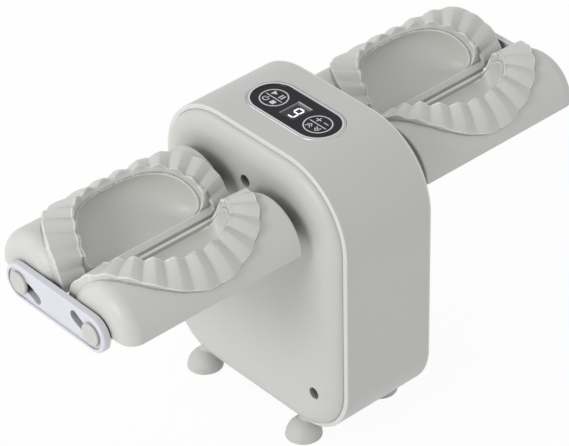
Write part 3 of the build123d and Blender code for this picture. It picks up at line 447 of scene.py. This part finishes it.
def drum_field(x, u, w, grow):
    """The half-round drum: grow is negative for the room inside it, which is open below."""
    across = np.hypot(u, w)
    outer_end = x - MOULD_OUT_X - grow
    field = rounded_cut(across - DRUM_R - grow, outer_end, DRUM_END_ROUND + grow)
    if grow < 0:
        return np.maximum(field, MOULD_IN_X - grow - x)
    field = rounded_cut(field, MOULD_IN_X - x, DRUM_IN_ROUND)
    return rounded_cut(field, -w, DRUM_EDGE_ROUND)


def oval_parts(along, angle, half, top_deg):
    """Shares of the way from an oval's middle to its end and to its top, on the drum's surface."""
    up = np.abs(angle - FRILL_FOOT_DEG) / (top_deg - FRILL_FOOT_DEG)
    out = np.abs(along) / half
    return out, up


def oval_distance(along, angle, half, top_deg, power_x, power_a):
    """Roughly how far a place on the drum's surface lies outside the oval."""
    x, a = oval_parts(along, angle, half, top_deg)
    value = x**power_x + a**power_a
    reach_a = math.radians(top_deg - FRILL_FOOT_DEG) * FRILL_R
    slope_x = power_x / half * x ** (power_x - 1)
    slope_a = power_a / reach_a * a ** (power_a - 1)
    return (value - 1) / np.sqrt(slope_x**2 + slope_a**2 + SLOPE_GUARD)


def bead_inset(angle):
    """How far the bead keeps the frill off the bowl, widest at the nip."""
    return BEAD_WIDTH * np.clip(1 - angle / BEAD_TOP_DEG, 0, 1)


def mouth_place(u, w):
    """Place across the bowl's mouth, from its lip up, and height over the mouth."""
    normal = math.radians(MOUTH_DEG)
    across = w * math.cos(normal) - u * math.sin(normal)
    height = u * math.cos(normal) + w * math.sin(normal) - MOUTH_SAG
    return across, height


def opening_field(along, radius, angle, across, scallop):
    """The flared opening over the basin: its sides lean out to the rim."""
    drop = np.maximum(FLARE_R - radius, 0)
    rim = oval_distance(along, angle, **FRILL_INNER) + FLARE * drop + scallop
    return rounded_cut(rim, BOWL_LOW - across, BOWL_CORNER)


def basin_field(along, across, height):
    """The soft basin under the drum's surface, with a D-shaped outline."""
    half, top_deg, power = BOWL_OUTLINE["half"], BOWL_OUTLINE["top_deg"], BOWL_OUTLINE_POWER
    on_drum = MOUTH_DEG + np.degrees(np.arcsin(np.clip(across / BOWL_RIM_R, -1, 1)))
    part_x, part_a = oval_parts(along, on_drum, half, top_deg)
    share = (part_x**power + part_a**power) ** (1 / power) + SHARE_GUARD
    reach = math.radians(top_deg - FRILL_FOOT_DEG) * BOWL_RIM_R
    slope_x = (part_x / share) ** (power - 1) / half
    slope_a = (part_a / share) ** (power - 1) / reach
    arch = (share - 1) / (np.hypot(slope_x, slope_a) + SLOPE_GUARD)
    from_arch = np.maximum(1 + arch / BOWL_SWEEP, 0)
    from_low = np.maximum(1 + (BOWL_LOW - across) / BOWL_SWEEP, 0)
    corner = BOWL_CORNER_POWER
    inward = (from_arch**corner + from_low**corner) ** (1 / corner)
    skin = np.sqrt(np.maximum(BOWL_RIM_R**2 - across**2, ROOT_GUARD)) - MOUTH_SAG
    depth = np.maximum(skin + BOWL_FLOOR, BOWL_MIN_DEPTH)
    down = np.maximum((skin - height) / depth, 0)
    value = (inward**BOWL_POWER + down**BOWL_POWER) ** (1 / BOWL_POWER) - 1
    return value * BOWL_SWEEP


def pleat_wave(along, angle, phase):
    """The pleats' wave, up at each crest and down in each sharp crease, and how far round it is."""
    mid_x, mid_a = oval_parts(along, angle, **FRILL_MIDDLE)
    turn = np.arctan2(mid_a ** (FRILL_MIDDLE_POWER_A / 2), mid_x ** (FRILL_MIDDLE_POWER_X / 2))
    share = np.where(along < 0, 1, -1) * (1 - turn / (math.pi / 2))
    pleat = FRILL_LOBES[0] * share + FRILL_LOBES[1] * share**3
    swell = np.minimum(np.sqrt(np.sin(math.pi * pleat + phase) ** 2 + CREASE_SOFT), 1)
    fold = np.arcsin(swell) * 2 / math.pi
    lobe = (1 - FRILL_FOLD) * swell + FRILL_FOLD * fold - FRILL_MEAN
    calm = np.clip(turn / FRILL_FOOT_TURN, 0, 1)
    calm = FRILL_FOOT_SWING + (1 - FRILL_FOOT_SWING) * calm * calm * (3 - 2 * calm)
    return lobe * calm, turn


def bowl_field(x, u, w, phase):
    """All the room of the bowl."""
    radius = np.hypot(u, w)
    angle = np.degrees(np.arctan2(w, u))
    across, height = mouth_place(u, w)
    along = x - BOWL_MID_X
    over_drum = np.clip((radius - BOWL_RIM_R) / RIM_SCALLOP_RISE, 0, 1)
    scallop = RIM_SCALLOP * over_drum * pleat_wave(along, angle, phase)[0]
    opening = opening_field(along, radius, angle, across, scallop)
    opening = np.maximum(opening, BOWL_OPEN_R - radius)
    return rounded_join(opening, basin_field(along, across, height), BOWL_ROUND)


def frill_field(x, u, w, phase):
    """The frilled band round the bowl: broad pleats with sharp creases between them."""
    along = x - BOWL_MID_X
    radius = np.hypot(u, w)
    angle = np.degrees(np.arctan2(w, u))
    from_inner = oval_distance(along, angle, **FRILL_INNER)
    drawn_in = along - FRILL_OUTER_EXTRA * np.clip(along / FRILL_OUTER["half"], 0, 1) ** 3
    from_outer = oval_distance(drawn_in, angle, **FRILL_OUTER)
    lobe, turn = pleat_wave(along, angle, phase)
    width = from_inner - np.minimum(from_outer, -OUTER_GUARD) + SHARE_GUARD
    outward = np.clip(from_inner / width, 0, 1)
    fade = np.sin(turn) ** 4 * outward
    top = FRILL_R - FRILL_TOP_DROP * fade + FRILL_SWING * (1 - FRILL_CALM * outward) * lobe
    band = rounded_cut(radius - top, from_outer - FRILL_SCALLOP * lobe, FRILL_EDGE_ROUND)
    foot = np.radians(FRILL_FOOT_DEG - angle) * radius
    band = rounded_cut(band, foot, FRILL_SIDE_ROUND)
    band = rounded_cut(band, bead_inset(angle) - from_inner, FRILL_SIDE_ROUND)
    past = np.maximum(along - FRILL_INNER["half"] - FRILL_ROOT_FROM, 0)
    return np.maximum(band, DRUM_R - (FRILL_ROOT + FRILL_ROOT_GROWTH * past) - radius)


def rim_field(x, u, w, phase):
    """The rim: a flat strip beside the nip that becomes a thin wavy bead round the bowl."""
    radius = np.hypot(u, w)
    angle = np.degrees(np.arctan2(w, u))
    across, height = mouth_place(u, w)
    along = x - BOWL_MID_X
    plane = height - LIP_HEIGHT - RIM_CLIMB * np.maximum(across - BOWL_LOW, 0)
    lobe, turn = pleat_wave(along, angle, phase)
    arch = np.clip(turn / RIM_WAVE_TURN, 0, 1)
    from_inner = oval_distance(along, np.maximum(angle, FRILL_FOOT_DEG), **FRILL_INNER)
    arch = arch * arch * (3 - 2 * arch) * np.clip(1 + from_inner / RIM_WAVE_REACH, 0, 1)
    crest = LIP_R + arch * (FRILL_R + RIM_PROUD + FRILL_SWING * lobe - LIP_R)
    top = rounded_cut(radius - crest, plane, LIP_ROUND)
    ends = from_inner - bead_inset(angle) - RIM_WIDTH
    ends = rounded_cut(ends, u - LIP_R, RIM_CORNER)
    rim = rounded_cut(top, ends, LIP_ROUND)
    rim = rounded_cut(rim, -w, RIM_FOOT_ROUND)
    return np.maximum(rim, DRUM_R - FRILL_ROOT - radius)


def hexagon_field(u, w):
    """Distance outside a hexagon with corners to both sides."""
    slanted = np.abs(u) * math.cos(math.pi / 6) + np.abs(w) * 0.5
    return np.maximum(slanted, np.abs(w)) - HEX_ACROSS / 2


def mould_field(x, u, w, phase):
    """One whole mould: negative in its material."""
    radius = np.hypot(u, w)
    shell = np.maximum(drum_field(x, u, w, 0), -drum_field(x, u, w, -DRUM_WALL))
    bowl = bowl_field(x, u, w, phase)
    wall = np.maximum(bowl - BOWL_WALL, radius - DRUM_R + BOWL_WALL_INSET)
    solid = np.minimum(shell, wall)
    hub = bar_field(x, radius, MOULD_IN_X, MOULD_IN_X + HUB_LENGTH)
    solid = rounded_join(solid, hub, HUB_FILLET)
    boss_start = MOULD_OUT_X - BOSS_LENGTH
    boss = bar_field(x, radius, boss_start, MOULD_OUT_X + BOSS_STAND_OUT)
    solid = rounded_join(solid, boss, BOSS_FILLET)
    solid = rounded_join(solid, frill_field(x, u, w, phase), FRILL_FILLET)
    solid = rounded_join(solid, rim_field(x, u, w, phase), BEAD_BLEND)
    solid = rounded_cut(solid, -bowl, BOWL_ROUND)
    hexagon = np.maximum(hexagon_field(u, w), x - MOULD_IN_X - HUB_LENGTH)
    bore = np.maximum(radius - PIN_BORE_R, boss_start - x)
    return np.maximum(solid, -np.minimum(hexagon, bore))


def net_of(field, low, step):
    """Corner places and quads of the surface where a field on a grid changes sign."""
    inside = field < 0
    cells = tuple(n - 1 for n in field.shape)
    total = np.zeros(cells + (3,), np.float32)
    count = np.zeros(cells, np.int16)
    ends = (slice(0, -1), slice(1, None))
    for axis in range(3):
        b, c = [other for other in range(3) if other != axis]
        for first in (0, 1):
            for second in (0, 1):
                pick = [ends[0]] * 3
                pick[b] = ends[first]
                pick[c] = ends[second]
                near = tuple(pick)
                pick[axis] = ends[1]
                far = tuple(pick)
                crossing = inside[near] != inside[far]
                gap = np.where(crossing, field[near] - field[far], 1)
                total[..., axis] += np.where(crossing, field[near] / gap, 0)
                total[..., b] += np.where(crossing, first, 0)
                total[..., c] += np.where(crossing, second, 0)
                count += crossing
    active = count > 0
    number = np.full(cells, -1, np.int64)
    number[active] = np.arange(active.sum())
    corner = np.argwhere(active).astype(np.float32)
    places = (corner + total[active] / count[active][:, None]) * step + np.array(low, np.float32)
    quads = []
    for axis in range(3):
        b, c = (axis + 1) % 3, (axis + 2) % 3
        pick = [slice(1, -1)] * 3
        pick[axis] = ends[0]
        near = tuple(pick)
        pick[axis] = ends[1]
        far = tuple(pick)
        leaving = inside[near] & ~inside[far]
        entering = ~inside[near] & inside[far]
        for crossing, turned in ((leaving, False), (entering, True)):
            at = np.argwhere(crossing)
            at[:, b] += 1
            at[:, c] += 1
            loop = []
            for down_b, down_c in ((1, 1), (0, 1), (0, 0), (1, 0)):
                cell = at.copy()
                cell[:, b] -= down_b
                cell[:, c] -= down_c
                loop.append(number[cell[:, 0], cell[:, 1], cell[:, 2]])
            quad = np.stack(loop, 1)
            quads.append(quad[:, ::-1] if turned else quad)
    return places, np.concatenate(quads)


def slope_of(field_at, places, reach):
    """The field's slope at each place, by small steps."""
    slope = np.empty_like(places)
    for axis in range(3):
        step = np.zeros(3)
        step[axis] = reach
        ahead, behind = places + step, places - step
        slope[:, axis] = (field_at(*ahead.T) - field_at(*behind.T)) / (2 * reach)
    return slope


def mould_shape(phase):
    """Places, quads, outward directions and bends of one mould's surface."""
    low = (MOULD_IN_X - GRID_IN_MARGIN, -DRUM_R - GRID_SIDE_MARGIN, GRID_LOW)
    side = DRUM_R + GRID_SIDE_MARGIN
    high = (MOULD_OUT_X + GRID_OUT_MARGIN, side, side)
    axes = [np.arange(a, b, GRID_STEP) for a, b in zip(low, high)]
    x, u, w = np.meshgrid(*axes, indexing="ij")

    def field_at(px, pu, pw):
        return mould_field(px, pu, pw, phase)

    places, quads = net_of(field_at(x, u, w), low, GRID_STEP)
    places = places.astype(np.float64)
    for _ in range(DRAW_STEPS):
        slope = slope_of(field_at, places, DRAW_REACH)
        size = (slope**2).sum(1, keepdims=True)
        move = slope * (field_at(*places.T)[:, None] / np.maximum(size, STEEP_GUARD))
        length = np.maximum(np.linalg.norm(move, axis=1, keepdims=True), LENGTH_GUARD)
        places -= move * np.minimum(1, DRAW_LIMIT * GRID_STEP / length)
    outward = slope_of(field_at, places, NORMAL_REACH)
    steep = np.maximum(np.linalg.norm(outward, axis=1), LENGTH_GUARD)
    outward /= steep[:, None]
    over = field_at(*(places + outward * EDGE_REACH).T)
    under = -field_at(*(places - outward * EDGE_REACH).T)
    bends = {
        name: 1 - gap / (EDGE_REACH * steep) for name, gap in (("edge", under), ("crease", over))
    }
    return places, quads, outward, bends


def placed(name, mesh):
    """A new object in the scene."""
    piece = bpy.data.objects.new(name, mesh)
    bpy.context.scene.collection.objects.link(piece)
    return piece


def mesh_object(name, places, quads, outward, bends, flipped):
    """A smooth mesh object from arrays in metres, with its edges and creases marked."""
    mesh = bpy.data.meshes.new(name)
    loops = (quads[:, ::-1] if flipped else quads).astype(np.int32)
    mesh.vertices.add(len(places))
    mesh.vertices.foreach_set("co", places.astype(np.float32).ravel())
    mesh.loops.add(loops.size)
    mesh.loops.foreach_set("vertex_index", loops.ravel())
    mesh.polygons.add(len(loops))
    mesh.polygons.foreach_set("loop_start", np.arange(0, loops.size, 4, dtype=np.int32))
    mesh.polygons.foreach_set("use_smooth", np.ones(len(loops), bool))
    mesh.update(calc_edges=True)
    for mark, values in bends.items():
        attribute = mesh.attributes.new(mark, "FLOAT", "POINT")
        attribute.data.foreach_set("value", values.astype(np.float32))
    mesh.validate()
    mesh.normals_split_custom_set_from_vertices(outward.astype(np.float32))
    return placed(name, mesh)


def moulds():
    """The four frilled moulds, in two shapes whose pleats mesh, mirrored for the left pair."""
    shaft = next(j for j in frame["joints"] if j["name"] == "back_shaft_spin")["pos_m"]
    shaft_y, shaft_z = shaft[1], shaft[2]
    for row, phase, turn in (("front", 0.0, 1), ("back", math.pi / 2, -1)):
        places, quads, outward, bends = mould_shape(phase)
        for side, way in (("right", 1), ("left", -1)):
            flip = np.array([way, turn, 1.0])
            at = places * flip * MM + np.array([0, -turn * shaft_y, shaft_z])
            node = f"{side}_{row}_mould"
            name = f"{side}_{row}_scalloped_mould"
            piece = mesh_object(name, at, quads, outward * flip, bends, way * turn < 0)
            piece.data.materials.append(finishes[slot_of[node]])
            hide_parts(node)
            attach(piece, body_of[node])


# Panel print: x across the machine, y along the panel
PRINT_T = 0.04
RING_R = 7.1
RING_LINE = 0.62
DIVIDER_HALF = 5.4
WINDOW_X = 12.6
WINDOW_Y = 9.4
WINDOW_EDGE = 0.45

# Icons, in the four quarters of each ring
ICON_X = 2.9
ICON_Y = 2.4
ICON_LINE = 0.5
PLAY_HALF = 1.7
PLAY_BACK = 1.3
PLAY_TIP = 1.6
PAUSE_HALF = 1.6
PAUSE_APART = 0.8
PAUSE_LINE = 0.8
POWER_R = 1.5
POWER_START_DEG = 45
POWER_TURN_DEG = 270
POWER_BAR = (0.2, 2.0)
STOP_HALF = 1.35
MINUS_HALF = 1.5
PLUS_HALF = 1.6
CHEVRON_STEPS = {"inner": -0.9, "outer": 0.5}
CHEVRON_TIP = 1.1
CHEVRON_TAIL = 0.4
CHEVRON_HALF = 1.5
CHEVRON_THICK = 1.3

# The digit's segments
DIGIT_HEIGHT = 8.2
DIGIT_WIDTH = 4.4
DIGIT_PLACE = (-1.0, -1.3)
SEGMENT = 0.88
SEGMENT_GAP = 0.12


def circle_points(centre, radius, start=0.0, turn=360.0, steps=48):
    """Points along a circle or an arc."""
    angles = [math.radians(start + turn * k / steps) for k in range(steps + (turn < 360))]
    return [(centre[0] + radius * math.cos(a), centre[1] + radius * math.sin(a)) for a in angles]


def plate(name, outline, holes, low, high, material, body):
    """A flat closed plate from an outline with holes, laid level between two heights."""
    loops = [outline] + list(holes)
    corners = [Vector((x, y, 0)) for loop in loops for x, y in loop]
    caps = tessellate_polygon([[Vector((x, y, 0)) for x, y in loop] for loop in loops])
    count = len(corners)
    places = [(c.x * MM, c.y * MM, z * MM) for z in (low, high) for c in corners]
    faces = []
    for a, b, c in caps:
        up = (corners[b] - corners[a]).cross(corners[c] - corners[a]).z > 0
        one, two = (b, c) if up else (c, b)
        faces.append((a + count, one + count, two + count))
        faces.append((a, two, one))
    first = 0
    for loop in loops:
        size = len(loop)
        area = sum(p[0] * q[1] - q[0] * p[1] for p, q in zip(loop, loop[1:] + loop[:1]))
        outer = loop is outline
        for k in range(size):
            a, b = first + k, first + (k + 1) % size
            if (area > 0) != outer:
                a, b = b, a
            faces.append((a, b, b + count, a + count))
        first += size
    mesh = bpy.data.meshes.new(name)
    mesh.from_pydata(places, [], faces)
    piece = placed(name, mesh)
    mesh.materials.append(material)
    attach(piece, body)
    return piece


def bar_outline(start, end, width):
    """The outline of a straight stroke with square ends."""
    start, end = Vector(start), Vector(end)
    along = end - start
    side = Vector((-along.y, along.x)).normalized() * width / 2
    return [tuple(corner) for corner in (start - side, end - side, end + side, start + side)]


def divider_outline(y):
    """The line along y that halves a ringed key."""
    return bar_outline((0, y - DIVIDER_HALF), (0, y + DIVIDER_HALF), ICON_LINE)


def level_bar(centre, half, width, shift=0.0):
    """A stroke along x through a centre, moved sideways by a shift."""
    y = centre[1] + shift
    return bar_outline((centre[0] - half, y), (centre[0] + half, y), width)


def arc_outline(centre, radius, width, start, turn):
    """The outline of a stroke along an arc."""
    outer = circle_points(centre, radius + width / 2, start, turn)
    inner = circle_points(centre, radius - width / 2, start, turn)
    return outer + inner[::-1]


def plus_outline(centre, half, width):
    """The outline of a plus sign."""
    shape = []
    for turn in range(4):
        for x, y in ((width / 2, width / 2), (half, width / 2), (half, -width / 2)):
            for _ in range(turn):
                x, y = y, -x
            shape.append((centre[0] + x, centre[1] + y))
    return shape


def chevron_outline(centre, way, step):
    """The outline of one chevron that points along x, up or down by its way."""
    tip = centre[0] + way * (step + CHEVRON_TIP)
    tail = centre[0] + way * (step - CHEVRON_TAIL)
    thick = way * ICON_LINE * CHEVRON_THICK
    left, right = centre[1] + CHEVRON_HALF, centre[1] - CHEVRON_HALF
    return [
        (tip, centre[1]),
        (tail, left),
        (tail - thick, left),
        (tip - thick, centre[1]),
        (tail - thick, right),
        (tail, right),
    ]


def segment_outline(centre, half, upright):
    """One pointed segment of a digit; upright segments run along x."""
    tip, side = half, SEGMENT / 2
    inner = tip - side
    shape = [(-tip, 0), (-inner, -side), (inner, -side), (tip, 0), (inner, side), (-inner, side)]
    if not upright:
        shape = [(-y, x) for x, y in shape]
    return [(centre[0] + x, centre[1] + y) for x, y in shape]


def icon_strokes():
    """Names and outlines of the plain icons in the two rings."""
    play, pause = (ICON_X, KEY_Y + ICON_Y), (ICON_X, KEY_Y - ICON_Y)
    power, stop = (-ICON_X, KEY_Y + ICON_Y), (-ICON_X, KEY_Y - ICON_Y)
    plus, minus = (ICON_X, ICON_Y - KEY_Y), (ICON_X, -ICON_Y - KEY_Y)
    quick, slow = (-ICON_X, ICON_Y - KEY_Y), (-ICON_X, -ICON_Y - KEY_Y)
    play_shape = [
        (play[0] - PLAY_HALF, play[1] + PLAY_BACK),
        (play[0], play[1] - PLAY_TIP),
        (play[0] + PLAY_HALF, play[1] + PLAY_BACK),
    ]
    power_arc = arc_outline(power, POWER_R, ICON_LINE, POWER_START_DEG, POWER_TURN_DEG)
    power_bar = [(power[0] + reach, power[1]) for reach in POWER_BAR]
    minus_bar = [(minus[0], minus[1] - MINUS_HALF), (minus[0], minus[1] + MINUS_HALF)]
    strokes = [
        ("play_icon", play_shape),
        ("pause_icon_left", level_bar(pause, PAUSE_HALF, PAUSE_LINE, PAUSE_APART)),
        ("pause_icon_right", level_bar(pause, PAUSE_HALF, PAUSE_LINE, -PAUSE_APART)),
        ("power_icon_arc", power_arc),
        ("power_icon_bar", bar_outline(*power_bar, ICON_LINE)),
        ("stop_icon", level_bar(stop, STOP_HALF, 2 * STOP_HALF)),
        ("minus_icon", bar_outline(*minus_bar, ICON_LINE)),
        ("plus_icon", plus_outline(plus, PLUS_HALF, ICON_LINE)),
    ]
    for name, centre, way in (("quick", quick, 1), ("slow", slow, -1)):
        for place, step in CHEVRON_STEPS.items():
            strokes.append((f"{name}_icon_{place}", chevron_outline(centre, way, step)))
    return strokes


def digit_segments():
    """Names and outlines of the lit segments, without the low left one."""
    reach = DIGIT_HEIGHT / 2 - SEGMENT / 2
    across = DIGIT_WIDTH / 2 - SEGMENT / 2
    side, level = reach / 2 - SEGMENT_GAP, across - SEGMENT_GAP
    segments = {
        "top": ((reach, 0), level, False),
        "top_left": ((reach / 2, across), side, True),
        "top_right": ((reach / 2, -across), side, True),
        "middle": ((0, 0), level, False),
        "low_right": ((-reach / 2, -across), side, True),
        "low": ((-reach, 0), level, False),
    }
    for name, (centre, half, upright) in segments.items():
        at = (centre[0] + DIGIT_PLACE[0], centre[1] + DIGIT_PLACE[1])
        yield name, segment_outline(at, half, upright)


def panel_print():
    """Pale print on the touch panel: two ringed keys with plain icons, the window and its digit."""
    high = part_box("touch_panel")[1][2] / MM
    top = high + PRINT_T
    body, slot = body_of["touch_panel"], slot_of["touch_panel"]
    strokes = []
    for key, y in (("start", KEY_Y), ("speed", -KEY_Y)):
        ring, hole = circle_points((0, y), RING_R), circle_points((0, y), RING_R - RING_LINE)
        plate(f"{key}_key_ring", ring, [hole], high, top, key_print, body)
        strokes.append((f"{key}_key_divider", divider_outline(y)))
    for name, outline in strokes + icon_strokes():
        plate(name, outline, [], high, top, key_print, body)
    half_x, half_y, inner_x = WINDOW_X / 2, WINDOW_Y / 2, WINDOW_X / 2 - WINDOW_EDGE
    middle = high + PRINT_T / 2
    window = [(-half_x, -half_y), (half_x, -half_y), (half_x, half_y), (-half_x, half_y)]
    plate("digit_window", window, [], high, middle, window_print, body)
    edge = [(inner_x, -half_y), (half_x, -half_y), (half_x, half_y), (inner_x, half_y)]
    plate("digit_window_edge", edge, [], high, top, key_print, body)
    for name, outline in digit_segments():
        plate(f"digit_segment_{name}", outline, [], middle, top, lit_segment, body)


def camera_like_the_photo():
    """The camera that sees the machine as the photograph does."""
    azimuth, elevation, roll = (
        math.radians(a) for a in (CAMERA_AZIMUTH, CAMERA_ELEVATION, CAMERA_ROLL)
    )
    away = Vector(
        (
            math.sin(azimuth) * math.cos(elevation),
            math.cos(azimuth) * math.cos(elevation),
            -math.sin(elevation),
        )
    )
    right = Vector((math.cos(azimuth), -math.sin(azimuth), 0))
    up = right.cross(away)
    turned_right = right * math.cos(roll) + up * math.sin(roll)
    turned_up = up * math.cos(roll) - right * math.sin(roll)
    data = bpy.data.cameras.new("camera")
    data.sensor_width = SENSOR_WIDTH
    data.lens = FOCAL_PIXELS / IMAGE_WIDTH * SENSOR_WIDTH
    data.clip_start, data.clip_end = CAMERA_CLIP
    camera = placed("camera", data)
    place = CAMERA_TARGET - away * CAMERA_DISTANCE
    turn = Matrix((turned_right, turned_up, -away)).transposed().to_4x4()
    camera.matrix_world = Matrix.Translation(place) @ turn
    bpy.context.scene.camera = camera


def lamp(name, place, size, watts):
    """A square softbox that looks at the machine."""
    data = bpy.data.lights.new(name, "AREA")
    data.shape = "SQUARE"
    data.size = size
    data.energy = watts
    light = placed(name, data)
    light.location = place
    towards = Vector(LAMP_AIM) - Vector(place)
    light.rotation_euler = towards.to_track_quat("-Z", "Y").to_euler()


def seen_directly(tree):
    """1 where the camera, a mirror or glass sees the surface, and 0 for all other light."""
    path = tree.nodes.new("ShaderNodeLightPath").outputs
    either = maths(tree, "MAXIMUM", path["Is Camera Ray"], path["Is Glossy Ray"])
    return maths(tree, "MAXIMUM", either, path["Is Transmission Ray"])


def whitened(tree, plain_shader, glow_type, share, output):
    """Mix in a share of plain white where the surface is seen directly."""
    white = tree.nodes.new(glow_type)
    white.inputs["Color"].default_value = (1, 1, 1, 1)
    white.inputs["Strength"].default_value = 1.0
    mix = tree.nodes.new("ShaderNodeMixShader")
    tree.links.new(maths(tree, "MULTIPLY", seen_directly(tree), share), mix.inputs["Fac"])
    tree.links.new(plain_shader, mix.inputs[1])
    tree.links.new(white.outputs[0], mix.inputs[2])
    tree.links.new(mix.outputs["Shader"], output)


def surroundings():
    """A soft pale world, the floor and the lamps."""
    world = bpy.data.worlds.new("world")
    bpy.context.scene.world = world
    world.use_nodes = True
    tree = world.node_tree
    plain = tree.nodes["Background"]
    plain.inputs["Color"].default_value = (1, 1, 1, 1)
    plain.inputs["Strength"].default_value = WORLD_STRENGTH
    world_out = tree.nodes["World Output"].inputs["Surface"]
    whitened(tree, plain.outputs["Background"], "ShaderNodeBackground", 1.0, world_out)
    bpy.ops.mesh.primitive_plane_add(size=FLOOR_SIZE)
    floor = bpy.context.object
    floor.name = "floor"
    finish = surface("floor_white", FLOOR_COLOUR, 0.8, grain=3, mottle=0.01)
    floor_tree = finish.node_tree
    floor_out = floor_tree.nodes["Material Output"].inputs["Surface"]
    floor_shader = floor_tree.nodes["Principled BSDF"].outputs["BSDF"]
    whitened(floor_tree, floor_shader, "ShaderNodeEmission", FLOOR_WHITE_SHARE, floor_out)
    floor.data.materials.append(finish)
    lamp("key", **KEY_LAMP)
    lamp("back", **BACK_LAMP)


moulds()
panel_print()
camera_like_the_photo()
surroundings()
bpy.context.scene.view_settings.view_transform = "Standard"
